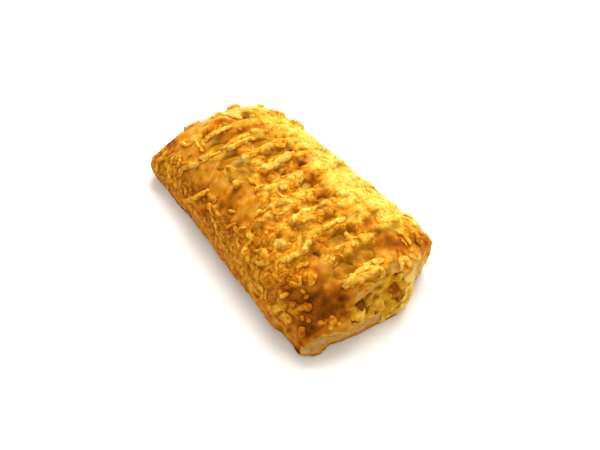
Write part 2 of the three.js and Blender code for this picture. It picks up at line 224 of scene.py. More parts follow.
def grains(points, across, seed):
    """Rounded grains: 1 on top of a grain, 0 in the creases between grains."""
    place = points / across
    cell = np.floor(place).astype(np.int64)
    nearest = np.full(len(points), 9.0)
    for step in itertools.product((-1, 0, 1), repeat=3):
        around = cell + np.array(step)
        centre = around + np.stack([shuffled(around, seed + k) for k in (1, 2, 3)], axis=1)
        nearest = np.minimum(nearest, ((centre - place) ** 2).sum(axis=1))
    return np.clip(1 - nearest / 0.62, 0, 1)


def ease(low, high, values):
    """0 below low, 1 above high, and smooth between them; low may be the larger."""
    t = np.clip((values - low) / (high - low), 0, 1)
    return t * t * (3 - 2 * t)


probe = np.random.default_rng(1).uniform(-50, 50, (2000, 3))
print(f"noise spans {soft_noise(probe, 5, 1).min():.2f} to {soft_noise(probe, 5, 1).max():.2f}")

# %% [markdown]
# ## Mesh helpers
# Each piece starts as a merged copy of its solid. A voxel remesh turns the copy into an even net of
# small quads, fusing whatever overlaps, which a displacement needs. Modifiers are applied by
# reading back the evaluated mesh.

# %% Copies and modifiers
def new_piece(name, mesh):
    piece = bpy.data.objects.new(name, mesh)
    scene.collection.objects.link(piece)
    return piece


def keep_as_mesh(work, name):
    """A new mesh out of a bmesh, which is then let go."""
    mesh = bpy.data.meshes.new(name)
    work.to_mesh(mesh)
    work.free()
    return mesh


def merged_copy(node, name):
    """A copy of a solid with its loose triangles joined."""
    work = bmesh.new()
    work.from_mesh(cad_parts[node].data)
    bmesh.ops.remove_doubles(work, verts=work.verts, dist=1e-6)
    return new_piece(name, keep_as_mesh(work, name))


def join(name, meshes):
    """One new mesh out of several."""
    work = bmesh.new()
    for mesh in meshes:
        work.from_mesh(mesh)
    return keep_as_mesh(work, name)


def evaluated(piece):
    """A new mesh of a piece as its modifiers and curves make it."""
    graph = bpy.context.evaluated_depsgraph_get()
    return bpy.data.meshes.new_from_object(piece.evaluated_get(graph))


def apply_modifier(piece, kind, **settings):
    """Adds one modifier, sets it and keeps its result as the piece's mesh."""
    modifier = piece.modifiers.new(kind.lower(), kind)
    for name, value in settings.items():
        setattr(modifier, name, value)
    result = evaluated(piece)
    piece.modifiers.clear()
    old, piece.data = piece.data, result
    bpy.data.meshes.remove(old)


def even_skin(piece, voxel, smoothing):
    """Fuses a piece into one skin of even quads, a voxel in millimetres wide, and smooths it."""
    apply_modifier(piece, "REMESH", mode="VOXEL", voxel_size=voxel * MM)
    apply_modifier(piece, "SMOOTH", factor=0.5, iterations=smoothing)


def thin_hidden(piece, hidden, keep):
    """Thins out the faces whose points are hidden, to a share of them, and leaves the rest."""
    piece.vertex_groups.new(name="hidden").add(np.nonzero(hidden)[0].tolist(), 1.0, "REPLACE")
    share = 1 - hidden.mean() * (1 - keep)
    apply_modifier(piece, "DECIMATE", ratio=share, vertex_group="hidden", vertex_group_factor=1000)
    piece.vertex_groups.clear()


def triangles(mesh):
    return sum(len(p.vertices) - 2 for p in mesh.polygons)


print("solids:", {name: triangles(node.data) for name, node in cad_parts.items()})

# %% Points, tones and finish
def read_points(mesh):
    """Where the vertices are, in millimetres, and which way they face."""
    both = []
    for what, unit in (("co", MM), ("normal", 1)):
        values = np.empty(len(mesh.vertices) * 3)
        mesh.vertices.foreach_get(what, values)
        both.append(values.reshape(-1, 3) / unit)
    return both


def write_points(mesh, points):
    mesh.vertices.foreach_set("co", (points * MM).astype(np.float32).ravel())
    mesh.update()


def write_tones(mesh, **tones):
    """Stores numbers from 0 to 1 per vertex, under names that a material can read."""
    for name, values in tones.items():
        layer = mesh.attributes.new(name, "FLOAT", "POINT")
        values = np.broadcast_to(values, len(mesh.vertices))
        layer.data.foreach_set("value", np.clip(values, 0, 1).astype(np.float32))


def dress(piece, material):
    """Gives a piece its one material and smooth shading."""
    piece.data.materials.clear()
    piece.data.materials.append(material)
    for polygon in piece.data.polygons:
        polygon.use_smooth = True


print("the table has", len(read_points(table.data)[0]), "points")

# %% [markdown]
# ## Places picked in the photograph
# Many shreds, crumbs, pits and tones of the real pastry can be pointed at in its photograph, which
# is 600 pixels wide and 450 high. A ray from the camera through such a pixel meets the skin at the
# place in question, so a piece put there sits on the crust when it is seen from any side.

# %% From a pixel to the skin
PHOTO_WIDTH, PHOTO_HEIGHT = 600, 450
PIXELS_DEEP = LENS / SENSOR_WIDTH * PHOTO_WIDTH
PASTRY_MIDDLE = (290, 230)  # a pixel
TOWARDS_MIDDLE = 0.01  # the share of the way that a ray moves when it misses the pastry


def skin_of(piece):
    """A search tree of a piece, for rays and nearest points."""
    return BVHTree.FromObject(piece, bpy.context.evaluated_depsgraph_get())


def sight(x, y):
    """The direction from the camera through a pixel of the photograph."""
    from_middle = Vector((x - PHOTO_WIDTH / 2, PHOTO_HEIGHT / 2 - y, -PIXELS_DEEP))
    return camera.rotation_quaternion @ from_middle


def seen_at(skin, x, y):
    """The point of the skin behind a pixel of the photograph, and the way it faces there.

    A ray that just misses the outline moves a little towards the middle until it meets the skin.
    """
    found = None
    while found is None:
        found, facing, _, _ = skin.ray_cast(CAMERA_AT, sight(x, y).normalized())
        x += TOWARDS_MIDDLE * (PASTRY_MIDDLE[0] - x)
        y += TOWARDS_MIDDLE * (PASTRY_MIDDLE[1] - y)
    return np.array(found) / MM, np.array(facing)


def place_spots(skin, rows):
    """Rows of pixel X, pixel Y, radius and strength as places in millimetres."""
    return [(seen_at(skin, x, y)[0], radius, strength) for x, y, radius, strength in rows]


def spots(points, placed):
    """The sum of soft round spots at each point."""
    total = np.zeros(len(points))
    for centre, radius, strength in placed:
        total += strength * np.exp(-(((points - centre) ** 2).sum(axis=1)) / radius**2)
    return total


solid_skin = skin_of(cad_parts["cheese_crust"])
lid_middle, _ = seen_at(solid_skin, PHOTO_WIDTH / 2, PHOTO_HEIGHT / 2)
print("the lid in the middle of the picture is at", lid_middle.round(1), "mm")

# %% [markdown]
# ## Where the cheese lies
# The photograph shows how unevenly the cheese was strewn. Bands of it lie on the strips of dough
# between the cuts, the right shoulder is covered, the foot of the left side is crusted with crumbs,
# and some places stayed bare. A mask could be painted by hand, but it would have to be kept as an
# image. Here large areas are drawn as soft ovals on the plan of the pastry, and smaller ones as
# spots picked in the photograph. The map holds for every piece that follows.

# %% Bare and covered places
DRAWING = np.array([0.43, -2.79])  # the middle of the plan drawing, seen from the model's origin
ROW_PITCH, ROW_START = 11.6, -1.9  # the rows of cuts, as on the solid model

BARE = [  # X, Y, half length, half width in millimetres, and strength
    (-18, -25.5, 27, 5, 0.9), (61.5, -17, 9, 8, 0.9), (-61, -4, 10, 14, 0.5), (57.5, 19, 5, 6, 0.8),
    (-37, -12, 5, 6.5, 0.7), (-37, 1, 4, 5, 0.6), (-13, 6, 4, 6, 0.5), (-47, 11.5, 3, 3, 0.6),
    (45.5, -13, 5, 4.5, 0.6), (-4, 14, 2.5, 5, 0.6), (-15, 14, 3.5, 3, 0.5), (-33, 13, 3.5, 3, 0.5),
    (7, 11, 14, 2.2, 0.4), (49, 15, 3, 4, 0.5), (2, -21, 12, 3, 0.6),
]
DENSE = [
    (30, -28, 22, 9, 0.6), (-14, -34, 14, 4, 0.4), (29, -17, 6, 5, 0.4), (37, 0, 3.5, 20, 0.4),
    (48, -4, 2.5, 10, 0.4), (63, 0, 3, 11, 0.4), (-8, 0, 4, 14, 0.5), (11, -12, 4, 6, 0.4),
    (-31, -4, 3, 9, 0.4), (-19.5, -7, 3, 12, 0.4), (-43, -10, 3, 9, 0.4), (0, 30, 75, 17, 0.5),
    (20, -6, 36, 17, 0.26),
]
CHEESE_SEEN = [  # pixel X, pixel Y, radius in millimetres and strength; bare places are negative
    (200, 180, 5, -0.9), (213, 183, 4, -0.6), (174, 145, 4.5, -0.8), (194, 133, 4, -0.6),
    (216, 121, 4, -0.7), (229, 121, 3, -0.6), (232, 133, 3.5, -0.8), (216, 144, 4, -1.0),
    (234, 160, 4, -1.0), (260, 145, 5, -1.3), (247, 175, 3.5, -1.0), (240, 204, 5, -0.7),
    (250, 205, 4, -0.5), (245, 193, 3.5, -0.6), (317, 290, 5, -0.7), (327, 302, 6, -0.9),
    (345, 303, 4.5, -0.7), (320, 268, 4, -0.6), (343, 272, 4.5, -0.9), (365, 256, 4.5, -1.0),
    (357, 257, 3, -1.0), (373, 256, 3, -1.0), (392, 243, 4.5, -0.8), (425, 238, 6, -0.6),
    (308, 330, 4, -0.6), (300, 300, 2.5, -0.6), (252, 160, 6, 0.3), (275, 200, 6, 0.3),
    (345, 240, 6, 0.4), (365, 272, 7, 0.6), (255, 245, 7, 0.5), (275, 262, 8, 0.5),
    (160, 161, 5, 0.6), (172, 172, 5, 0.5), (166, 152, 4, 0.4), (179, 159, 4, 0.4),
    (178, 184, 5, 0.5), (400, 268, 5, -0.7), (411, 262, 4, -0.6), (390, 272, 3, -0.4),
    (420, 238, 5, -0.5), (305, 257, 5, 0.4), (322, 188, 3, -0.7), (337, 235, 3, -0.8),
]
cheese_spots = place_spots(solid_skin, CHEESE_SEEN)
print(len(BARE), "bare areas,", len(DENSE), "covered ones and", len(cheese_spots), "small spots")

# %% Cheese map
STREWN, ON_STRIPS, THICKEST = 0.4, 0.34, 1.4  # cheese everywhere, more on the strips, and the limit


def ovals(points, patches):
    """The strongest of the soft ovals at each point."""
    plan = points[:, :2] - DRAWING
    best = np.zeros(len(points))
    for x, y, half_x, half_y, strength in patches:
        away = ((plan[:, 0] - x) / half_x) ** 2 + ((plan[:, 1] - y) / half_y) ** 2
        best = np.maximum(best, strength * np.exp(-0.9 * away**1.5))
    return best


def on_strip(points):
    """1 along the middle of a strip of dough, 0 along a row of cuts."""
    row = (points[:, 0] - DRAWING[0] - ROW_START) / ROW_PITCH
    return 0.5 - 0.5 * np.cos(2 * np.pi * row)


def cheese_amount(points, normals):
    """How thickly the cheese lies, from 0 to the thickest."""
    amount = STREWN + ON_STRIPS * on_strip(points) * ease(22, 8, np.abs(points[:, 1]))
    amount += ovals(points, DENSE) - ovals(points, BARE) + spots(points, cheese_spots)
    amount *= ease(-0.25, 0.25, normals[:, 2]) * ease(1.5, 5, points[:, 2])
    burst_end = ease(67, 70, points[:, 0]) * ease(0.75, 0.55, normals[:, 2])
    return np.clip(amount * (1 - burst_end), 0, THICKEST)


sample = np.array([[37.0, 0.0, 30.0], [-18.0, -28.0, 20.0]])
upwards = np.array([[0, 0, 1.0]] * 2)
print("cheese on a band and on a bare place:", cheese_amount(sample, upwards).round(2))

# %% [markdown]
# ## Torn dough at the burst end
# Where the parcel burst, the lid's skin hangs over the left half of the end as a flap with a torn
# edge, and a thin pale sheet of dough is left standing at the right of the mouth. They could be
# sculpted, but two lines of points say plainly where such a sheet hangs and where it ends: a grid is
# stretched between them and given some thickness. Both sheets are joined to the crust before it is
# remeshed, which fuses them with it, because they are the same dough.

# %% Torn sheets
FLAP_TOP = [
    (64.8, -36.8, 9.5), (66, -34, 12), (66.5, -31, 14.5), (66.8, -27, 17), (67, -23.5, 19.5),
    (67.2, -20, 21.5), (67.3, -17.5, 22.5), (67.5, -15.5, 23.5), (67.6, -13.5, 24),
]
FLAP_EDGE = [
    (66.6, -37.2, 8.0), (67.8, -34.4, 11.5), (68.8, -30.6, 13.8), (70.2, -25.8, 13.2),
    (71.6, -21.5, 12), (72.8, -17.9, 10.3), (71.8, -15.2, 14.3), (70.2, -14.9, 19.1),
    (69.2, -13.6, 22.6),
]
RIGHT_SHEET_WALL = [
    (69.9, 19, 26.5), (70.9, 19.4, 20), (71.6, 19.6, 14), (72, 19.2, 8), (72, 18, 2.5),
]
RIGHT_SHEET_EDGE = [
    (70.3, 13.0, 27.6), (72.2, 13.0, 21.5), (72.9, 12.4, 15), (73.2, 11, 8.5), (73.2, 9.5, 2),
]


def along_line(line, t):
    """The point at a share t of the way along a line of evenly counted points."""
    place = t * (len(line) - 1)
    return np.array([np.interp(place, range(len(line)), axis) for axis in zip(*line)])


def torn_sheet(name, attached, torn, thick, ragged, seed):
    """A sheet of dough that hangs from one line and ends raggedly at another."""
    work = bmesh.new()
    bmesh.ops.create_grid(work, x_segments=60, y_segments=10, size=0.5)
    for vert in work.verts:
        t, down = vert.co.x + 0.5, vert.co.y + 0.5
        edge = along_line(torn, t)
        start = along_line(attached, t)
        wave = soft_noise(edge[None], 2.2, seed)[0] + 0.6 * soft_noise(edge[None], 1.0, seed + 1)[0]
        reach = down * (1 + ragged * wave)
        vert.co = Vector(start + (edge - start) * reach) * MM
    bmesh.ops.recalc_face_normals(work, faces=work.faces)
    bmesh.ops.solidify(work, geom=work.faces[:], thickness=thick * MM)
    bmesh.ops.recalc_face_normals(work, faces=work.faces)
    return keep_as_mesh(work, name)


flap = torn_sheet("flap", FLAP_TOP, FLAP_EDGE, thick=1.3, ragged=0.07, seed=301)
right_sheet = torn_sheet(
    "right_sheet", RIGHT_SHEET_WALL, RIGHT_SHEET_EDGE, thick=1.0, ragged=0.3, seed=305
)
print("torn sheets:", triangles(flap), "and", triangles(right_sheet), "triangles")

# %% [markdown]
# ## The crust
# The dough is one soft, slightly blistered skin. Subdividing its copy would keep the solid's long
# triangles, which would show in the relief. So it is remeshed with voxels of about two thirds of a
# millimetre, and the facets are smoothed away. The lining of the pocket and the underside are never
# seen, so their faces are thinned out. A point lines the pocket where it is close to the filling
# and faces it.

# %% Crust form
FINE_VOXEL = 0.64  # mm
VOXEL = FINE_VOXEL
crust = merged_copy("cheese_crust", "pastry_crust")
crust.data = join("pastry_crust", [crust.data, flap, right_sheet])
even_skin(crust, VOXEL, smoothing=int(9 * (FINE_VOXEL / VOXEL) ** 2))
print(f"crust: {triangles(crust.data)} triangles after the remesh")

# %% Find the hidden inside
LINING_REACH = 2.2  # how far from the filling the lining may lie, in millimetres
MOUTH_FROM = 62  # X in millimetres; past it the pocket's wall shows in the mouth
UNDERSIDE = 0.4  # Z in millimetres; what is lower lies on the table
filling_skin = skin_of(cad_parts["filling"])


def lines_pocket(points, normals):
    """Whether each point is close to the filling and faces it."""
    lining = np.zeros(len(points), bool)
    for k, place in enumerate(points):
        found, _, _, away = filling_skin.find_nearest(Vector(place) * MM, LINING_REACH * MM)
        if found is not None:
            lining[k] = (np.array(found) / MM - place) @ normals[k] > 0.35 * away / MM
    return lining


points, normals = read_points(crust.data)
hidden = lines_pocket(points, normals) & (points[:, 0] <= MOUTH_FROM)
thin_hidden(crust, hidden | (points[:, 2] < UNDERSIDE), keep=0.06)
points, normals = read_points(crust.data)
inside = lines_pocket(points, normals).astype(float)
outer = 1 - inside
print(f"crust: {triangles(crust.data)} triangles once the hidden ones are thinned")

# %% [markdown]
# ## Cuts, glaze and pits
# In some cuts of the lid the dough drew apart over the sauce, which dried to an amber glaze. A
# boolean would cut them with sharp rims, so the skin is pressed in there instead, and the sauce will
# puff up through it. Pits and the patches of glaze are picked in the photograph.

# %% Open cuts
WINDOWS = [  # X, Y, half length and half width of the cut, and how far the sauce lies under the lid
    (-25.1, -12, 3.2, 5.5, 2.7), (-25.1, 4.5, 3.5, 4.8, 2.7), (-13.5, -11.5, 3.2, 5.5, 2.7),
    (56.1, 4.5, 3.9, 5.2, 2.2), (56.1, -6, 3.9, 4.9, 2.1), (9.7, 7.5, 2.2, 2.9, 3.0),
    (21.3, 8, 2.5, 3.2, 3.0), (32.9, 3.5, 2.2, 3.8, 2.9), (44.5, -1, 3, 4.5, 3.0),
    (44.5, 7.5, 2, 1.8, 2.4), (-36.7, -12.5, 2.8, 4.4, 2.2), (-36.7, 1, 2.6, 4.0, 2.1),
    (-13.5, 5.5, 2.2, 4.2, 2.2),
]


def in_window(points, margin=0.0):
    """1 at an open cut, falling to 0 at its rim widened by a margin."""
    plan = points[:, :2] - DRAWING
    within = np.zeros(len(points))
    for x, y, half_x, half_y, _ in WINDOWS:
        away = np.hypot((plan[:, 0] - x) / (half_x + margin), (plan[:, 1] - y) / (half_y + margin))
        within = np.maximum(within, ease(1.0, 1 - (0.8 + margin) / (half_y + margin), away))
    return within


print(len(WINDOWS), "open cuts over", f"{(in_window(points) > 0).mean():.1%}", "of the points")

# %% Glaze and pits seen in the photograph
GLAZE_SEEN = [  # pixel X, pixel Y, radius in millimetres and strength of the amber glaze in the cuts
    (224, 164, 1.8, 0.9), (229, 160, 2.2, 1.0), (235, 157, 2.0, 1.0), (240, 157, 1.4, 0.7),
    (244, 177, 1.6, 0.9), (249, 174, 1.8, 1.0), (254, 172, 1.5, 0.8), (255, 148, 2.0, 1.0),
    (261, 144, 2.2, 1.0), (266, 143, 1.3, 0.7), (212, 150, 1.8, 0.8), (216, 145, 2.2, 0.8),
    (220, 141, 1.8, 0.7), (221, 149, 1.5, 0.6), (230, 137, 1.8, 0.5), (236, 134, 2.0, 0.5),
    (242, 135, 1.3, 0.6), (352, 256, 2.0, 0.9), (359, 255, 2.2, 0.8), (366, 257, 2.4, 0.7),
    (373, 255, 2.0, 1.0), (333, 278, 2.2, 1.0), (338, 275, 2.2, 1.0), (345, 268, 2.2, 0.9),
    (350, 274, 2.2, 0.7), (278, 158, 1.6, 0.5), (337, 236, 1.8, 0.7), (348, 228, 1.3, 0.6),
]
PITS_SEEN = [  # pixel X, pixel Y, radius and depth in millimetres
    (161, 155, 0.9, 0.8), (164, 162, 1.0, 0.9), (167, 157, 0.8, 0.8), (163, 167, 0.8, 0.7),
    (169, 150, 0.8, 0.6), (288, 148, 1.0, 0.8), (278, 172, 1.1, 0.8), (270, 184, 0.9, 0.7),
    (301, 163, 1.4, 0.9), (306, 185, 1.3, 1.2), (244, 118, 1.1, 0.7), (268, 113, 0.6, 0.5),
    (283, 123, 0.6, 0.5), (291, 127, 0.6, 0.5), (313, 143, 0.6, 0.5), (324, 152, 0.6, 0.5),
    (316, 162, 0.6, 0.5), (299, 134, 0.7, 0.5), (303, 139, 0.5, 0.4), (233, 254, 1.4, 1.2),
    (262, 229, 1.1, 0.9), (252, 232, 0.8, 0.6), (226, 243, 1.0, 0.8), (268, 251, 0.8, 0.7),
    (257, 263, 0.8, 0.6), (279, 237, 1.3, 0.9), (319, 199, 1.6, 1.2), (333, 197, 0.8, 0.8),
    (327, 221, 1.2, 0.9), (295, 229, 1.1, 0.8), (303, 245, 0.7, 1.4), (338, 239, 1.8, 1.2),
    (348, 228, 1.5, 0.9), (304, 284, 1.0, 0.8), (273, 287, 0.8, 0.6), (289, 291, 1.0, 0.7),
    (377, 231, 1.3, 0.7), (372, 240, 1.0, 0.6), (384, 214, 0.6, 0.5), (390, 219, 0.6, 0.5),
    (397, 214, 0.6, 0.5), (387, 224, 0.6, 0.5), (206, 197, 1.0, 0.7), (280, 212, 0.8, 0.5),
]
pit_places = place_spots(solid_skin, PITS_SEEN)
glaze_places = place_spots(solid_skin, GLAZE_SEEN)
print(len(pit_places), "pits and", len(glaze_places), "patches of glaze")

# %% [markdown]
# ## Relief of cheese and dough
# Cheese that melted flat is the skin's own relief. A displacement texture could raise it, but the
# numbers are needed again for the shreds and the colours. Where the cheese map and some noise
# agree, the skin is raised and grained. The noise is stretched across the pastry, as the strips of
# dough run that way. Bare dough blisters gently, and where layers show at the foot and at the
# corners of the burst end, fine ridges run around it. An ease between two numbers works on
# millimetres where it reads a place, and on a share from -1 to 1 where it reads a normal.

# %% Melted cheese and blistered dough
along, across, up = points.T
CHEESE_THIN, CHEESE_FULL = 0.4, 0.58  # the sum of map and noise at a patch's edge, and well in it

amount = cheese_amount(points, normals) * outer
stretched = points * np.array([1.0, 0.5, 0.7])
edge = amount + 0.34 * soft_noise(stretched, 3.4, 11) + 0.26 * soft_noise(points, 1.9, 12)
edge += 0.14 * soft_noise(points, 1.2, 13)
cheese = ease(CHEESE_THIN, CHEESE_FULL, edge)
grain = grains(points * np.array([1.0, 0.62, 0.8]), 2.3, 21)
rough = soft_noise(points, 1.3, 32)
calm = 1 - 0.5 * ease(8, 15, across)  # the right shoulder melted to one smooth sheet
bumpy = 0.14 * grain + 0.38 * soft_noise(stretched, 3.2, 31) + 0.16 * rough
blisters = 0.25 * soft_noise(points, 6, 41) + 0.14 * soft_noise(points, 2.6, 42) + 0.05 * rough
relief = cheese * (0.5 + calm * bumpy) + (1 - cheese) * blisters
# crease: painted shade in the creases between the grains of cheese
crease = np.clip(0.8 - 0.75 * grain - 0.35 * rough, 0, 1) * cheese * calm
print(f"cheese covers {cheese[inside < 1].mean():.0%} of the outer skin")

# %% Flaky layers, the sole and the pits
LAYER_PITCH = 1.9  # mm from one flaky layer to the next
side_wall = ease(0.75, 0.45, np.abs(normals[:, 2]))
at_foot = ease(6.5, 3.5, up) * side_wall
at_corners = ease(58, 62, along) * ease(18, 24, np.abs(across + 2)) * side_wall
flaky = np.maximum(at_foot * 0.7, at_corners * ease(17, 10, up) * ease(-14, 14, across))
waver = 4 * soft_noise(points, 6, 45) + soft_noise(points, 2, 46)
layers = np.sin(up * 2 * np.pi / LAYER_PITCH + waver)
sole = ease(1.2, 0.2, up)
relief = relief + flaky * (0.3 * layers - 0.1)
relief = relief * outer * (1 - sole) - spots(points, pit_places) * outer
print(f"flaky layers on {(flaky > 0.3).mean():.0%} of the points")

# %% The burst end and the open cuts
FLAP_EDGE_Y = [place[1] for place in FLAP_EDGE[:6]]  # its lower edge, without the mouth's side
FLAP_EDGE_Z = [place[2] for place in FLAP_EDGE[:6]]
FOOT_Y, FOOT_BACK = (-30, -24, -16, -9, 4, 10), (0, 2.6, 1.9, 1.2, 0.6, 0)  # mm the foot steps back

below_flap = ease(0.2, -0.5, up - np.interp(across, FLAP_EDGE_Y, FLAP_EDGE_Z))
below_flap *= ease(64, 66, along) * ease(0.2, 0.5, normals[:, 0]) * ease(12, 8, across)
relief -= 0.7 * below_flap * ease(0.5, 2, up)
ragged = points + 0.5 * np.stack([soft_noise(points, 2, seed) for seed in (51, 52, 53)], axis=1)
relief *= 1 - in_window(ragged, 1.2) * ease(0.1, 0.4, normals[:, 2]) * outer
in_lid = ease(9, 13, up)
sunk = (1.2 * in_window(ragged, 0.6) + 1.0 * in_window(ragged, 2.8)) * in_lid
glaze = np.clip(0.5 * in_window(ragged, 1.2) + 1.3 * spots(ragged, glaze_places), 0, 1) * in_lid
stepped = np.interp(across, FOOT_Y, FOOT_BACK) * ease(9, 3, up) * ease(60, 68, along)
moved = np.stack([stepped, 0 * stepped, sunk], axis=1)
write_points(crust.data, points + normals * relief[:, None] - moved)
print(f"the relief runs from {relief.min():.1f} to {relief.max():.1f} mm")

# %% [markdown]
# ## Shreds and crumbs
# Grated cheese is strewn as short shreds, which slump in the oven and run together with crumbs of
# all sizes. A shred is a spline that follows the skin, always pulled back to the nearest point of
# it, and a crumb is a small icosphere pressed onto it. Those that the photograph shows plainly are
# traced from it, and the others are strewn by chance where the cheese map asks for them. Particles
# would strew them too, but meshes can melt together: a voxel remesh fuses them all into one.

# %% Walk on the skin
SHRED_STEP = 1.1  # mm from one point of a shred to the next
skin = skin_of(crust)
dice = np.random.default_rng(204)


def settle(place):
    """The nearest point of the skin, and the way it faces there, in millimetres."""
    found, facing, _, _ = skin.find_nearest(Vector(place) * MM)
    return np.array(found) / MM, np.array(facing)


def creep(start, heading, length, curl, lift):
    """Points of a shred that starts at a place and follows the skin."""
    place, facing = start
    direction = np.array(heading, float)
    path = []
    steps = max(3, int(length / SHRED_STEP))
    for _ in range(steps + 1):
        direction -= facing * direction.dot(facing)
        direction /= np.linalg.norm(direction) + 1e-9
        path.append(place + facing * lift)
        sideways = np.cross(facing, direction)
        direction = direction + sideways * curl * length / steps / 10
        place, facing = settle(place + direction * length / steps)
    return path


def trace(pixels, lift):
    """Points of a shred that follows the skin through places picked in the photograph."""
    stops = [seen_at(skin, x, y)[0] for x, y in pixels]
    path = []
    for start, end in zip(stops, stops[1:]):
        pieces = max(1, round(np.linalg.norm(end - start) / SHRED_STEP))
        path += [settle(start + (end - start) * k / pieces) for k in range(pieces)]
    path.append(settle(stops[-1]))
    return [place + facing * lift for place, facing in path]


print("a shred of 9 mm has", len(creep(settle((0, 0, 40)), (0, 1, 0), 9, 0.5, 0.2)), "points")

# %% Shreds seen in the photograph
SHREDS_SEEN = [  # radius in millimetres, lift as a share of it, and pixels of the photograph
    (1.15, 0.35, [(180, 172), (184, 168), (189, 166), (194, 165), (199, 165)]),
    (0.6, 0.2, [(199, 164), (204, 162), (209, 159), (215, 155), (221, 152)]),
    (1.4, -0.3, [(199, 159), (206, 156), (213, 154)]),
    (1.15, 0.4, [(186, 201), (192, 199), (198, 197), (203, 194), (209, 192)]),
    (0.8, 0.1, [(197, 142), (199, 147), (203, 152)]),
    (1.1, -0.1, [(182, 143), (187, 146), (193, 142)]),
    (0.9, 0.0, [(205, 142), (210, 137), (217, 133), (224, 129), (232, 127)]),
    (1.35, 0.05, [(227, 149), (233, 147), (240, 143), (246, 139)]),
    (0.9, 0.1, [(246, 139), (251, 139), (256, 139)]),
    (1.3, 0.0, [(212, 118), (218, 113), (224, 114), (231, 116), (238, 118), (242, 119)]),
    (1.1, 0.1, [(276, 147), (280, 146), (285, 146)]),
    (1.7, -0.35, [(258, 170), (268, 167), (278, 163), (286, 158), (293, 152)]),
    (0.9, 0.3, [(209, 203), (211, 210), (213, 218), (216, 224), (218, 229)]),
    (0.7, 0.1, [(228, 210), (232, 212), (236, 212)]),
    (0.8, 0.2, [(228, 237), (236, 233), (246, 228)]),
    (0.8, 0.1, [(226, 229), (231, 225), (238, 223)]),
    (0.9, 0.3, [(254, 217), (258, 213), (262, 209)]),
    (1.4, -0.3, [(262, 214), (268, 208), (276, 204), (285, 200)]),
    (1.4, 0.0, [(296, 222), (298, 215), (303, 212), (310, 210)]),
    (1.2, -0.1, [(310, 210), (317, 207), (326, 203)]),
    (1.2, -0.2, [(322, 230), (330, 225), (340, 221), (346, 218)]),
    (1.3, -0.1, [(310, 240), (306, 249), (298, 254), (290, 258), (281, 262)]),
    (1.2, 0.1, [(296, 268), (302, 265), (309, 264)]),
    (1.0, 0.3, [(288, 272), (283, 276), (278, 280)]),
    (1.5, 0.2, [(302, 326), (302, 331), (302, 337)]),
    (1.2, 0.2, [(301, 316), (303, 321)]),
    (1.0, 0.3, [(397, 232), (403, 235), (407, 240), (410, 246)]),
    (0.8, 0.2, [(401, 240), (404, 243), (407, 247)]),
    (1.2, 0.3, [(412, 232), (417, 238), (420, 243)]),
    (1.0, 0.3, [(404, 216), (408, 216), (412, 219)]),
    (1.4, -0.1, [(363, 266), (370, 264), (378, 262), (385, 260)]),
    (1.5, -0.1, [(345, 284), (350, 281), (356, 277)]),
    (1.5, -0.2, [(355, 274), (362, 270), (370, 267)]),
    (1.3, 0.0, [(362, 277), (369, 273), (377, 269)]),
    (0.9, 0.2, [(350, 276), (357, 279), (363, 281)]),
    (1.3, 0.0, [(378, 268), (383, 272), (381, 277)]),
    (1.4, -0.2, [(333, 246), (340, 241), (346, 240), (352, 238)]),
    (1.1, -0.1, [(345, 232), (350, 238), (352, 247)]),
    (1.0, 0.1, [(240, 232), (238, 240), (240, 250)]),
    (1.2, -0.1, [(265, 250), (266, 257), (268, 265)]),
    (1.1, 0.0, [(255, 262), (260, 264), (265, 261)]),
]
shred_curve = bpy.data.curves.new("shreds", "CURVE")
shred_curve.dimensions = "3D"
shred_curve.bevel_depth = 1 * MM  # so that a point's radius is in millimetres
shred_curve.bevel_resolution = 1
shred_curve.use_fill_caps = True


def add_shred(path, radius):
    """One spline with a radius that swells and thins along it."""
    spline = shred_curve.splines.new("POLY")
    spline.points.add(len(path) - 1)
    swell = soft_noise(np.array(path), 2.6, 71)
    for k, place in enumerate(path):
        spline.points[k].co = (*(place * MM), 1)
        tip = 0.6 if k in (0, len(path) - 1) else 1.0
        spline.points[k].radius = radius * tip * (1 + 0.3 * swell[k])


for radius, lift, pixels in SHREDS_SEEN:
    add_shred(trace(pixels, lift * radius), 1.12 * radius)
print(f"{len(shred_curve.splines)} shreds traced")

# %% Shreds strewn by chance
SHREDS = 230
covered = (inside < 1) & (amount > 0.15) & (edge > 0.42)
clear_of_cuts = in_window(points, 2.0) < 0.05
outer_ids = np.nonzero(covered & clear_of_cuts)[0]
chance = np.clip(amount[outer_ids], 0, 1) ** 1.5 * (1.3 * calm[outer_ids] - 0.3)
chance /= chance.sum()
for k in dice.choice(outer_ids, SHREDS, p=chance):
    turn = dice.normal(math.pi / 2, 0.8)  # most lie across the pastry, as the strips do
    length, radius = dice.uniform(3, 9), dice.uniform(0.5, 1.1)
    start, heading = settle(points[k]), (math.cos(turn), math.sin(turn), 0)
    add_shred(creep(start, heading, length, dice.normal(0, 2.2), -radius * 0.4), radius)
shreds = new_piece("shreds", shred_curve)
print(f"{len(shred_curve.splines)} shreds")

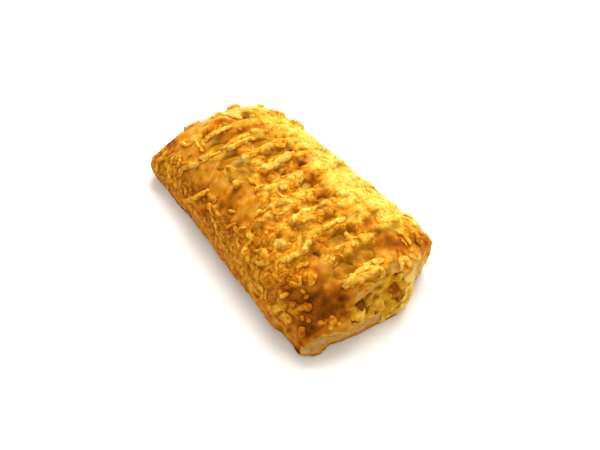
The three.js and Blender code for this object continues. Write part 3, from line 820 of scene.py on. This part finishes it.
# %% A heap of balls for the crumbs
CRUMBS_SEEN = [  # pixel X, pixel Y, radius in millimetres, height as a share of it
    (154, 158, 2.1, 0.45), (157, 170, 1.9, 0.45), (163, 177, 1.8, 0.45), (170, 171, 2.1, 0.4),
    (164, 150, 1.8, 0.45), (172, 151, 1.6, 0.45), (176, 172, 1.7, 0.45), (168, 186, 1.5, 0.5),
    (400, 258, 2.6, 0.3), (407, 262, 2.2, 0.3), (402, 266, 1.8, 0.3), (411, 256, 1.6, 0.35),
    (160, 160, 2.2, 0.35), (168, 165, 1.8, 0.4), (173, 158, 1.8, 0.4), (180, 163, 2.0, 0.35),
    (171, 180, 1.9, 0.5), (181, 183, 1.7, 0.6), (186, 190, 1.8, 0.6), (176, 190, 1.0, 0.6),
    (190, 155, 1.2, 0.5), (178, 165, 1.6, 0.4), (166, 172, 1.5, 0.5), (158, 164, 2.1, 0.4),
    (165, 155, 1.5, 0.4), (220, 127, 1.6, 0.3), (240, 130, 1.1, 0.4), (236, 184, 2.4, 0.35),
    (252, 181, 1.6, 0.45), (299, 177, 2.7, 0.4), (284, 186, 2.7, 0.3), (278, 244, 3.4, 0.35),
    (320, 222, 1.4, 0.4), (377, 219, 1.2, 0.6), (293, 284, 1.8, 0.6), (300, 281, 1.6, 0.6),
    (312, 279, 2.5, 0.5), (303, 291, 1.5, 0.6), (306, 297, 1.3, 0.6), (284, 295, 1.4, 0.6),
    (282, 305, 2.5, 0.45), (293, 304, 1.8, 0.6), (300, 309, 1.4, 0.6), (306, 307, 1.8, 0.5),
    (285, 317, 3.0, 0.4), (309, 321, 1.2, 0.7), (320, 323, 1.7, 0.6), (326, 322, 1.7, 0.5),
    (333, 320, 1.7, 0.6), (330, 327, 1.6, 0.5), (338, 323, 1.4, 0.6), (277, 309, 1.8, 0.5),
    (260, 287, 2.1, 0.45), (266, 296, 1.7, 0.5), (257, 275, 1.7, 0.5), (263, 262, 1.8, 0.4),
    (276, 258, 2.3, 0.35), (276, 277, 1.9, 0.45), (283, 283, 1.7, 0.5), (245, 247, 2.4, 0.35),
    (248, 255, 1.8, 0.4), (250, 236, 2.0, 0.35), (228, 252, 1.8, 0.4), (236, 257, 1.7, 0.45),
    (222, 240, 1.6, 0.45), (213, 236, 1.4, 0.5), (225, 262, 1.4, 0.5), (243, 272, 1.9, 0.45),
    (421, 233, 1.3, 0.6), (352, 285, 1.9, 0.45), (360, 281, 1.9, 0.45), (370, 276, 2.0, 0.35),
    (346, 287, 1.4, 0.5), (336, 264, 1.3, 0.5), (332, 258, 1.7, 0.35), (385, 316, 1.9, 0.8),
    (380, 321, 1.0, 0.8), (357, 313, 1.3, 0.7), (405, 224, 1.0, 0.6), (414, 226, 0.9, 0.6),
]
CRUMBS = 330
wanted = CRUMBS + len(CRUMBS_SEEN)
bm = bmesh.new()
bmesh.ops.create_icosphere(bm, subdivisions=2, radius=1.0)
ball_size = len(bm.verts)
while len(bm.verts) < wanted * ball_size:
    bmesh.ops.duplicate(bm, geom=bm.verts[:] + bm.edges[:] + bm.faces[:])
crumb_mesh = keep_as_mesh(bm, "crumbs")
balls = (read_points(crumb_mesh)[0] * MM).reshape(-1, ball_size, 3)
print(f"{len(balls)} balls of {ball_size} points, doubled until there were {wanted}")

# %% Crumbs
def press(ball, start, radius, height):
    """Turns one unit ball into an uneven crumb pressed onto the skin."""
    place, facing = start
    spin = Matrix.Rotation(dice.uniform(0, math.pi), 3, "Z")
    turn = np.array(Vector(facing).to_track_quat("Z", "Y").to_matrix() @ spin)
    stretch = np.array([dice.uniform(0.95, 1.8), dice.uniform(0.65, 1.0), height])
    wobble = 1 + 0.4 * soft_noise(ball * 1.6 + place, 1.0, 77)
    return place + (ball * stretch * radius * wobble[:, None]) @ turn.T


for k, (x, y, radius, height) in enumerate(CRUMBS_SEEN):
    balls[k] = press(balls[k], seen_at(skin, x, y), radius, height)
chance *= 0.25 + ease(9, 20, np.abs(across[outer_ids] + 2))  # most crumbs rolled off the middle
chance /= chance.sum()
strewn = dice.choice(outer_ids, len(balls) - len(CRUMBS_SEEN), p=chance)
for k, at in enumerate(strewn, start=len(CRUMBS_SEEN)):
    radius = 0.42 + 1.3 * dice.random() ** 4  # few are large
    balls[k] = press(balls[k], settle(points[at]), radius, dice.uniform(0.25, 0.45))
write_points(crumb_mesh, balls.reshape(-1, 3))
print(f"{len(balls)} crumbs, {triangles(crumb_mesh)} triangles before they melt")

# %% Melt them together
CHEESE_VOXEL = 0.42  # mm


def height_over_skin(points):
    """How far each point lies outside the crust, in millimetres, and the way the crust faces."""
    heights, facings = np.zeros(len(points)), np.zeros((len(points), 3))
    for k, place in enumerate(points):
        found, facing, _, _ = skin.find_nearest(Vector(place) * MM)
        heights[k] = (Vector(place) * MM - found).dot(facing) / MM
        facings[k] = facing
    return heights, facings


melted = new_piece("melted_cheese", join("melted_cheese", [evaluated(shreds), crumb_mesh]))
bpy.data.objects.remove(shreds)
even_skin(melted, CHEESE_VOXEL, smoothing=4)
melted_points, _ = read_points(melted.data)
height, facings = height_over_skin(melted_points)
slump = 0.35 * np.maximum(height - 0.5, 0)  # melted shreds are lower than they are wide
write_points(melted.data, melted_points - facings * slump[:, None])
sunken = f"{(height < -0.15).mean():.0%} of them under the skin"
print(f"melted cheese: {triangles(melted.data)} triangles, {sunken}")

# %% Grain of the melted cheese
thin_hidden(melted, height < -0.25, keep=0.05)
melted_points, melted_normals = read_points(melted.data)
melted_grain = grains(melted_points * np.array([1.0, 0.65, 0.8]), 1.8, 61)
melted_rough = soft_noise(melted_points, 1.1, 62)
bumps = 0.12 * melted_grain + 0.2 * melted_rough + 0.22 * soft_noise(melted_points, 2.4, 63)
bumps -= spots(melted_points, pit_places)
write_points(melted.data, melted_points + melted_normals * bumps[:, None])
print(f"melted cheese: {triangles(melted.data)} triangles")

# %% [markdown]
# ## Tones of baking, and painted light and shade
# The oven browned the rims, the corners and the thin cheese most. A noise in the material wouldn't
# know where those are, so what the oven did is stored as numbers on the vertices: how brown the
# dough is, how toasted the cheese and where a cut is glazed. Painted shade and light are stored the
# same way: shade in the creases, in the pits, at the foot of the melted cheese, under the flap and
# partly along the left side and the burst end, and highlights on the right shoulder, the far end
# and the thin sheet at the mouth. The material turns them into colour, and they stay fixed to the
# surface.

# %% Baking map
# darker places: browned by the oven, and on the left side and the burst end partly painted shade
DARK = [
    (61, -21, 9, 8, 0.26), (64, -31, 5, 5, 0.2), (0, -22, 14, 4, 0.1), (-64, -24, 9, 3, 0.1),
    (47, -28, 8, 5, 0.12), (7, 11, 16, 2.6, 0.1), (-30, -31, 12, 3, 0.1), (-5, 14, 3, 5, 0.1),
]
# painted highlights: the right shoulder and the far end are made paler
PAINTED_HIGHLIGHTS = [(14, 33, 56, 11, 0.37), (-62, 16, 14, 14, 0.32), (-62, -4, 8, 12, 0.08)]
# spots darker from baking and from painted shade, and paler from paler dough and painted highlights
TONES_SEEN = [  # pixel X, pixel Y, radius in millimetres, and how much darker, or paler if negative
    (174, 144, 4, 0.3), (194, 133, 3.5, 0.08), (222, 120, 3, 0.2), (232, 122, 2, 0.2),
    (232, 133, 3, 0.14), (263, 143, 3, 0.18), (262, 131, 2, 0.15), (243, 133, 2, 0.15),
    (197, 190, 3.5, 0.16), (235, 194, 3, 0.3), (246, 192, 3, 0.25), (228, 206, 3, 0.2),
    (226, 222, 3, 0.28), (205, 213, 4, 0.25), (232, 232, 2.5, 0.2), (213, 231, 3.5, 0.15),
    (288, 170, 2.5, 0.2), (300, 170, 2.5, 0.15), (315, 173, 2, 0.2), (319, 195, 2.5, 0.2),
    (300, 273, 3.5, 0.3), (292, 292, 3.5, 0.4), (300, 301, 2.5, 0.4), (312, 303, 4, 0.38),
    (320, 310, 4, 0.35), (312, 318, 2.5, 0.4), (308, 330, 4, 0.3), (325, 295, 5, 0.2),
    (336, 305, 4.5, 0.25), (345, 295, 4, 0.22), (340, 314, 4, 0.2), (297, 318, 2.5, 0.35),
    (285, 318, 3.5, 0.12), (388, 240, 3, 0.45), (396, 244, 3.5, 0.45), (377, 233, 3, 0.25),
    (371, 240, 2, 0.2), (388, 217, 4.5, 0.12), (410, 228, 4, 0.18), (425, 240, 5, 0.5),
    (418, 248, 3, 0.3), (405, 224, 3, 0.15), (336, 235, 2.5, 0.15), (348, 228, 2, 0.25),
    (225, 114, 4, -0.15), (330, 165, 8, -0.15), (350, 190, 8, -0.15), (380, 205, 6, -0.1),
    (348, 306, 2, -0.2), (356, 299, 2, -0.2), (364, 295, 2.5, -0.25), (371, 289, 2.5, -0.25),
    (378, 284, 2.5, -0.25), (385, 279, 3, -0.3), (393, 274, 3, -0.12), (402, 272, 3, -0.12),
    (411, 266, 4, -0.08), (419, 258, 4, -0.08), (397, 268, 2, 0.15), (405, 265, 1.5, 0.15),
    (318, 312, 4, 0.3), (310, 300, 3.5, 0.3), (418, 236, 5, 0.42), (210, 122, 4, 0.15),
    (392, 248, 3, 0.4), (402, 240, 3, 0.2), (340, 290, 3, 0.1), (308, 353, 3, 0.5),
    (316, 352, 3, 0.45), (325, 349, 2.5, 0.3), (313, 346, 1.5, 0.3), (299, 177, 2.5, -0.2),
    (278, 244, 3.3, -0.2), (284, 186, 3, -0.15), (190, 166, 3, -0.2), (288, 156, 4, -0.12),
    (405, 262, 5, -0.1), (258, 168, 3, -0.12), (303, 213, 3, -0.15),
]
DARKEST = 0.48  # no tone goes further from the rest than this
tone_spots = place_spots(solid_skin, TONES_SEEN)


def browning_and_light(points):
    """How much darker than the rest each point is, by oven and painted shade, or paler if negative.
    """
    tone = ovals(points, DARK) - ovals(points, PAINTED_HIGHLIGHTS) + spots(points, tone_spots)
    tone += 0.1 * ease(-22, -34, points[:, 1]) + 0.05 * soft_noise(points, 9, 81)
    tone += 0.16 * (0.35 - on_strip(points)) * ease(20, 10, np.abs(points[:, 1]))
    return DARKEST * np.tanh(tone / DARKEST)


brown = browning_and_light(points)
print(f"browning runs from {brown.min():.2f} to {brown.max():.2f}")

# %% Brown the dough
FAT_AND_SHADE_RIM = 1.3  # mm around melted cheese where its fat browned the dough and shade is painted at its foot
BAKED, LINING = 0.33, 0.12  # how brown the skin is on the whole, and how pale the pocket's lining
melted_skin = skin_of(melted)
beside = np.zeros(len(points))
for k in np.nonzero((inside < 1) & (up > 1))[0]:
    found, _, _, away = melted_skin.find_nearest(Vector(points[k]) * MM, FAT_AND_SHADE_RIM * MM)
    if found is not None:
        beside[k] = 1 - away / MM / FAT_AND_SHADE_RIM

bake = BAKED + brown + 0.2 * flaky * layers
bake += 0.12 * soft_noise(points, 5, 82) + 0.2 * soft_noise(points, 2.4, 88)
# beside the cheese: browning by its fat, and painted shade at its foot
bake += 0.16 * beside * (1 - cheese) * ease(66, 64, along)
front_corner = ease(59, 64, along) * ease(-30, -34, across) * ease(8, 4, up)
right_corner = ease(22, 27, across) * at_corners * ease(8, 5, up)
seam = at_foot * ease(2.4, 1.4, np.abs(up - 3.2))
dark_sole = ease(1.7, 0.9, up) * side_wall
pale_line = ease(1.0, 0.5, np.abs(up - 2.6)) * side_wall * ease(-5, -20, along)
bake += 0.3 * front_corner + 0.2 * right_corner + 0.12 * seam + 0.4 * dark_sole - 0.3 * pale_line
print(f"{(beside > 0).mean():.0%} of the points are browned by the cheese beside them")

# %% Pale dough at the burst end
torn_edge = ease(2.0, 0.7, np.abs(up - np.interp(across, FLAP_EDGE_Y, FLAP_EDGE_Z)))
bake -= 0.25 * torn_edge * ease(65, 67, along) * ease(-12, -15, across)
end_face = ease(64, 66, along) * ease(0.25, 0.55, normals[:, 0]) * ease(27, 24, up)
bake -= 0.3 * end_face * ease(10, 14, across) * ease(26, 20, across)
lower_sheet = 0.1 + 0.35 * ease(3, 0.5, up) + 0.12 * soft_noise(points, 2.5, 83)
bake = np.where(below_flap > 0.3, lower_sheet, bake)
bake = bake * outer + inside * LINING
# the thin sheet at the right of the mouth: pale torn dough, painted palest yellow for light shining
# through it
thin_sheet = end_face * ease(27, 25, up) * ease(8.5, 10, across) * ease(21.5, 19, across)
thin_sheet *= 1 - below_flap
sheet_tone = 0.04 + 0.14 * soft_noise(points * np.array([1, 1, 0.3]), 1.6, 87)
# painted shadow of the flap on the sheet below it, darker towards the flap
flap_shadow = 0.3 * below_flap * (0.3 + ease(4, 9, up))
print(f"pale dough on {(end_face > 0.5).mean():.1%} of the points")

# %% Store the tones
# painted shade: the pits are darkened towards brown
dark_pits = [(centre, radius * 1.1, min(1.0, depth)) for centre, radius, depth in pit_places]
# beside other cheese the cheese is toasted, with painted shade at its foot
toast = 0.14 + 0.18 * beside + brown
toast += 0.1 * soft_noise(points, 2.8, 84) + 0.08 * soft_noise(points, 1.3, 85)
write_tones(
    crust.data,
    bake=bake,
    cheese=np.maximum(cheese, thin_sheet),
    crease=crease,
    toast=np.where(thin_sheet > 0.5, sheet_tone, toast),
    pit=np.maximum(np.clip(spots(points, dark_pits), 0, 1), flap_shadow),
    glaze=glaze,
)

low = np.clip(1 - height_over_skin(melted_points)[0] / 0.7, 0, 1)  # thin cheese toasts first
melted_toast = 0.06 + 0.34 * low + browning_and_light(melted_points)
melted_toast += 0.12 * soft_noise(melted_points, 2.8, 84) + 0.1 * soft_noise(melted_points, 1.3, 86)
# the melted cheese gets painted shade in its creases and pits as well
write_tones(
    melted.data,
    cheese=1,
    bake=0.4,
    crease=0.55 - 0.6 * melted_grain - 0.3 * melted_rough,
    toast=melted_toast,
    pit=spots(melted_points, dark_pits),
    glaze=0,
)
print("tones:", [layer.name for layer in crust.data.attributes if layer.data_type == "FLOAT"])

# %% [markdown]
# ## Crust and cheese materials
# Egg-washed puff pastry goes from cream to amber to chestnut as it bakes, with a faint gloss, and
# grated cheese goes from butter yellow to orange. Both are fatty and let some light in, so they get
# subsurface scattering, which reaches furthest in red, and only a weak reflection. Two materials
# would meet in a hard line, so one holds both, mixed by the cheese attribute, and melted edges
# blend. Each pattern's scale is worked out from its size in millimetres.

# %% Baked dough
BLOTCH, FLECK = 2.5, 0.8  # mm, as fat and protein brown unevenly
FLOURY = 3.45  # mm, patches where the egg wash is thin
baked, tree, shader = new_material(
    "baked_cheese_crust",
    {
        "Roughness": 0.6,
        "IOR": 1.46,  # that of fat
        "Specular IOR Level": 0.03,
        "Subsurface Weight": 0.25,
        "Subsurface Radius": (1.0, 0.45, 0.12),
        "Subsurface Scale": 0.9 * MM,
    },
)
spot = add_node(tree, "ShaderNodeTexCoord").outputs["Object"]
tone = {
    name: add_node(tree, "ShaderNodeAttribute", attribute_name=name).outputs["Fac"]
    for name in ("bake", "cheese", "crease", "toast", "pit", "glaze")
}
times_plus = {"operation": "MULTIPLY_ADD"}  # input 0 times input 1, plus input 2
of_colour = {"data_type": "RGBA"}  # a mix of the colours at inputs 6 and 7, given at output 2

coarse = {"Vector": spot, "Scale": 1 / (BLOTCH * MM), "Detail": 3, "Roughness": 0.6}
fine = {"Vector": spot, "Scale": 1 / (FLECK * MM), "Detail": 2, "Roughness": 0.6}
blotch = add_node(tree, "ShaderNodeTexNoise", coarse)
fleck = add_node(tree, "ShaderNodeTexNoise", fine)
half_flecks = add_node(tree, "ShaderNodeMath", {0: fleck, 1: 0.5, 2: -0.5}, **times_plus)
mottle = add_node(tree, "ShaderNodeMath", {0: blotch, 1: 0.5, 2: half_flecks}, **times_plus)
dough_tone = add_node(tree, "ShaderNodeMath", {0: mottle, 1: 0.6, 2: tone["bake"]}, **times_plus)
dough = add_node(
    tree,
    "ShaderNodeValToRGB",
    {"Fac": dough_tone},
    stops=[
        (0.0, "C6A66C"), (0.12, "C09440"), (0.26, "B97B1E"), (0.4, "B06C0A"), (0.55, "9C5606"),
        (0.72, "7E4104"), (0.86, "653205"), (1.0, "44200A"),
    ],
)
flour = {"Vector": spot, "Scale": 1 / (FLOURY * MM), "Detail": 2}
patchy = add_node(tree, "ShaderNodeTexNoise", flour)
thin_wash = add_node(tree, "ShaderNodeMapRange", {0: patchy, 1: 0.52, 2: 0.72, 3: 0.0, 4: 0.45})
little_baked = add_node(tree, "ShaderNodeMapRange", {0: dough_tone, 1: 0.35, 2: 0.6, 3: 1.0, 4: 0.0})
wash = add_node(tree, "ShaderNodeMath", {0: thin_wash, 1: little_baked}, operation="MULTIPLY")
washed = add_node(tree, "ShaderNodeMix", {"Factor": wash, 6: dough, 7: linear("C08C48")}, **of_colour)
print("the dough's colour takes", len(tree.nodes), "nodes")

# %% Toasted cheese, glaze and painted shade
SPECK = 0.714  # mm, scorched specks all over the cheese
dots = add_node(tree, "ShaderNodeTexNoise", {"Vector": spot, "Scale": 1 / (SPECK * MM), "Detail": 1})
specks = add_node(tree, "ShaderNodeMapRange", {0: dots, 1: 0.58, 2: 0.68, 3: 0.0, 4: 0.3})
speckled = add_node(tree, "ShaderNodeMath", {0: specks, 1: tone["toast"]}, operation="ADD")
# painted shade in the creases darkens the cheese's tone
creased = {0: tone["crease"], 1: 0.42, 2: speckled}
crumb_tone = add_node(tree, "ShaderNodeMath", creased, **times_plus)
cheese_tone = add_node(tree, "ShaderNodeMath", {0: mottle, 1: 0.7, 2: crumb_tone}, **times_plus)
toasted = add_node(
    tree,
    "ShaderNodeValToRGB",
    {"Fac": cheese_tone},
    stops=[
        (0.0, "D8BC5C"), (0.1, "D1A83E"), (0.22, "C9932A"), (0.36, "C08016"), (0.54, "AC660A"),
        (0.76, "904A06"), (1.0, "643303"),
    ],
)
ambers = [(0.34, "8A5403"), (0.5, "9C6405"), (0.7, "AC7C1C")]
amber = add_node(tree, "ShaderNodeValToRGB", {"Fac": blotch}, stops=ambers)
# the painted shade of the pits and of the flap is mixed in as a dark brown
pit_share = add_node(tree, "ShaderNodeMath", {0: tone["pit"], 1: 0.75}, operation="MULTIPLY")
colour = washed
scorch_brown = linear("5E2E03")
for share, other in ((tone["cheese"], toasted), (tone["glaze"], amber), (pit_share, scorch_brown)):
    under_it = colour.outputs[2]
    colour = add_node(tree, "ShaderNodeMix", {"Factor": share, 6: under_it, 7: other}, **of_colour)
tree.links.new(colour.outputs[2], shader.inputs["Base Color"])
print("with the cheese's it takes", len(tree.nodes), "nodes")

# %% Fine relief of the crust
PEBBLE = 1.11  # mm, grains that stand in the cheese
pebbles = add_node(
    tree, "ShaderNodeTexVoronoi", {"Vector": spot, "Scale": 1 / (PEBBLE * MM)}, feature="SMOOTH_F1"
)
domes = add_node(tree, "ShaderNodeMath", {0: pebbles, 1: -0.6, 2: 0.6}, **times_plus)
on_cheese = add_node(tree, "ShaderNodeMath", {0: domes, 1: tone["cheese"]}, operation="MULTIPLY")
grainy = add_node(tree, "ShaderNodeMath", {0: fleck, 1: 0.5, 2: on_cheese}, **times_plus)
bump = add_node(tree, "ShaderNodeBump", {"Height": grainy, "Strength": 0.4, "Distance": 0.6 * MM})
tree.links.new(bump.outputs["Normal"], shader.inputs["Normal"])
dress(crust, baked)
dress(melted, baked)
print("material", baked.name, "has", len(tree.nodes), "nodes")

# %% [markdown]
# ## The filling
# A cheese sauce with egg set in the oven: yellow, glossy and a little lumpy. It shows at the burst
# end and through the cuts, where it puffed up almost to the lid and dried to an amber film. Each of
# those puffs is a flat icosphere joined to the filling, tilted as the lid is between the rims of its
# cut. The lumps in the mouth are icospheres too, on the lines of sight of those in the photograph.

# %% Lumps and puffs of sauce
LUMPS_SEEN = [  # pixel X, pixel Y, where along the pastry in millimetres, and radius
    (357, 313, 70.6, 1.9), (362, 311, 70.6, 1.6), (366, 313, 70.6, 1.3), (372, 307, 70.0, 2.0),
    (378, 310, 70.4, 2.0), (384, 305, 70.0, 2.4), (385, 313, 71.4, 2.2), (376, 300, 69.5, 2.2),
    (383, 296, 69.3, 2.0), (370, 297, 69.0, 1.8), (391, 302, 70.6, 2.2), (396, 304, 70.8, 1.8),
    (380, 289, 68.5, 1.8), (389, 309, 71.4, 1.5), (403, 286, 69.6, 1.7), (405, 292, 70.0, 1.8),
    (402, 298, 70.6, 1.9), (399, 301, 70.8, 1.6), (402, 280, 69.0, 1.5), (395, 279, 68.6, 1.2),
    (352, 314, 70.2, 1.3), (351, 308, 69.2, 1.2), (388, 296, 69.6, 2.0), (368, 303, 69.6, 1.6),
    (355, 317, 71.4, 1.8), (360, 317, 71.7, 1.8), (366, 316, 71.6, 1.6), (371, 315, 71.4, 1.6),
    (404, 284, 71.0, 2.1), (405, 290, 71.4, 2.2), (404, 296, 71.8, 2.2), (402, 301, 72.0, 2.0),
    (400, 277, 70.2, 1.8), (396, 305, 71.8, 1.6), (391, 308, 72.0, 1.6), (398, 275, 68.5, 2.4),
    (403, 281, 69.2, 2.7), (406, 288, 69.8, 2.7), (403, 297, 70.4, 2.7), (397, 303, 70.6, 2.3),
    (404, 281, 70.6, 2.8), (405, 288, 71.0, 3.0), (404, 295, 71.4, 3.0), (401, 301, 71.8, 2.6),
    (379, 305, 70.6, 2.5), (374, 303, 70.0, 2.2), (354, 315, 69.6, 2.4), (352, 310, 68.8, 2.0),
    (359, 316, 70.6, 2.2), (386, 278, 67.6, 2.2),
]
PUFF_MARGIN = 2.6  # mm that a puff reaches past its cut on every side
PUFF_HALF = 1.3  # mm, half its thickness
RIM = 1  # mm from the cut to where the height of the lid is read


def on_plane(x, y, plane):
    """Where the ray through a pixel of the photograph meets a plane across the pastry."""
    ray = sight(x, y)
    return CAMERA_AT + ray * ((plane * MM - CAMERA_AT.x) / ray.x)


def lid_height(x, y):
    """How high the solid's lid is over a place of the table, in millimetres."""
    found, _, _, _ = solid_skin.ray_cast(Vector((x, y, 60)) * MM, Vector((0, 0, -1)))
    return found.z / MM


bm = bmesh.new()
for x, y, half_x, half_y, below in WINDOWS:
    x, y = x + DRAWING[0], y + DRAWING[1]
    rims = [lid_height(x + side * (half_x + RIM), y) for side in (-1, 1)]
    tilt = math.atan2(rims[1] - rims[0], 2 * (half_x + RIM))
    middle = Vector((x, y, sum(rims) / 2 - below - PUFF_HALF)) * MM
    puff = bmesh.ops.create_icosphere(bm, subdivisions=3, radius=1 * MM)["verts"]
    shape = (half_x + PUFF_MARGIN, half_y + PUFF_MARGIN, PUFF_HALF)
    bmesh.ops.scale(bm, vec=shape, verts=puff)
    bmesh.ops.rotate(bm, cent=(0, 0, 0), matrix=Matrix.Rotation(-tilt, 3, "Y"), verts=puff)
    bmesh.ops.translate(bm, vec=middle, verts=puff)
for x, y, plane, radius in LUMPS_SEEN:
    lump = bmesh.ops.create_icosphere(bm, subdivisions=2, radius=radius * MM)["verts"]
    bmesh.ops.translate(bm, vec=on_plane(x, y, plane), verts=lump)
puffs = keep_as_mesh(bm, "puffs")
print(len(WINDOWS), "puffs and", len(LUMPS_SEEN), "lumps")

# %% Filling
SAUCE_VOXEL = 0.75  # mm
filling = merged_copy("filling", "cheese_filling")
filling.data = join("cheese_filling", [filling.data, puffs])
even_skin(filling, SAUCE_VOXEL, smoothing=6)
sauce_points, sauce_normals = read_points(filling.data)
near_mouth = ease(60, 64, sauce_points[:, 0])
at_mouth = near_mouth * ease(0.2, 0.6, sauce_normals[:, 0])
lumps = 0.4 * grains(sauce_points, 4.6, 91) + 0.5 * soft_noise(sauce_points, 2.2, 92) - 0.2
swelling = 0.7 * near_mouth * (1 - at_mouth)  # it fills the mouth to its rim
lumps = lumps * (0.25 + 0.75 * at_mouth) + swelling
write_points(filling.data, sauce_points + sauce_normals * lumps[:, None])
write_tones(filling.data, film=(1 - at_mouth) * ease(0.3, 0.7, sauce_normals[:, 2]))
print(f"filling: {triangles(filling.data)} triangles")

# %% Sauce material
SWIRL, BUBBLE = 4, 1  # mm, where the sauce set and where its film dried
sauce, tree, shader = new_material(
    "set_cheese_sauce",
    {
        "Roughness": 0.5,
        "Specular IOR Level": 0.04,
        "Subsurface Weight": 0.3,
        "Subsurface Radius": (1.0, 0.7, 0.2),
        "Subsurface Scale": 1.6 * MM,
    },
)
spot = add_node(tree, "ShaderNodeTexCoord").outputs["Object"]
film = add_node(tree, "ShaderNodeAttribute", attribute_name="film").outputs["Fac"]
swirl = add_node(tree, "ShaderNodeTexNoise", {"Vector": spot, "Scale": 1 / (SWIRL * MM), "Detail": 3})
fresh, dried = (
    add_node(tree, "ShaderNodeValToRGB", {"Fac": swirl}, stops=stops)
    for stops in (
        [(0.32, "A87408"), (0.5, "C08A14"), (0.7, "DCB03C")],
        [(0.34, "845002"), (0.48, "966005"), (0.6, "AA7409"), (0.74, "B08F32")],
    )
)
both = add_node(tree, "ShaderNodeMix", {"Factor": film, 6: fresh, 7: dried}, **of_colour)
tree.links.new(both.outputs[2], shader.inputs["Base Color"])
dimples = {"Vector": spot, "Scale": 1 / (BUBBLE * MM), "Detail": 2}
bubbles = add_node(tree, "ShaderNodeTexNoise", dimples)
bump = add_node(tree, "ShaderNodeBump", {"Height": bubbles, "Strength": 0.3, "Distance": 0.5 * MM})
tree.links.new(bump.outputs["Normal"], shader.inputs["Normal"])
dress(filling, sauce)
print("material", sauce.name, "has", len(tree.nodes), "nodes")

# %% [markdown]
# ## The browned cubes
# Two fried cubes sit in the sauce at the burst end. They are brown with a faint gloss of fat and
# worn corners, and the left one is darker all over. A bevel would round every corner alike, so
# they are remeshed, smoothed and made uneven. A blotchy noise mixes the browns of frying.

# %% Fried material
CHAR = 2.63  # mm
fried, tree, shader = new_material("fried_cube", {"Roughness": 0.45, "Specular IOR Level": 0.03})
spot = add_node(tree, "ShaderNodeTexCoord").outputs["Object"]
scorch = add_node(tree, "ShaderNodeAttribute", attribute_name="scorch").outputs["Fac"]
char = add_node(tree, "ShaderNodeTexNoise", {"Vector": spot, "Scale": 1 / (CHAR * MM), "Detail": 4})
browns = [(0.3, "743C06"), (0.52, "A35D0F"), (0.75, "C0781E")]
fried_colour = add_node(tree, "ShaderNodeValToRGB", {"Fac": char}, stops=browns)
# the left cube is mixed towards a darker brown all over
scorched = {"Factor": scorch, 6: fried_colour, 7: linear("643404")}
colour = add_node(tree, "ShaderNodeMix", scorched, **of_colour)
tree.links.new(colour.outputs[2], shader.inputs["Base Color"])
bump = add_node(tree, "ShaderNodeBump", {"Height": char, "Strength": 0.4, "Distance": 0.6 * MM})
tree.links.new(bump.outputs["Normal"], shader.inputs["Normal"])
print("material", fried.name, "has", len(tree.nodes), "nodes")

# %% Browned cubes
CUBE_VOXEL = 0.35  # mm
cubes = []
for side, scorched in (("right", 0.0), ("left", 0.8)):
    cube = merged_copy(f"browned_cube_{side}", f"fried_cube_{side}")
    even_skin(cube, CUBE_VOXEL, smoothing=2)
    cube_points, cube_normals = read_points(cube.data)
    uneven = 0.22 * soft_noise(cube_points, 1.6, 95)
    write_points(cube.data, cube_points + cube_normals * uneven[:, None])
    write_tones(cube.data, scorch=scorched)
    dress(cube, fried)
    cubes.append(cube)
print("cubes:", [triangles(c.data) for c in cubes])

# %% [markdown]
# ## Tell the frame what each piece stands for
# Each dressed piece takes the place of its solid and rides on the pastry's one body.

# %% Attach the pieces
for piece, node, slot in (
    (crust, "cheese_crust", "crust"),
    (filling, "filling", "filling"),
    (cubes[0], "browned_cube_right", "browned"),
    (cubes[1], "browned_cube_left", "browned"),
):
    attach(piece, "root")
    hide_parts(node)
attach(melted, "root")

looks_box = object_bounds()
for name, box in (("solid", solid_box), ("looks", looks_box)):
    print(name, [round(v / MM, 2) for v in box[0]], [round(v / MM, 2) for v in box[1]])
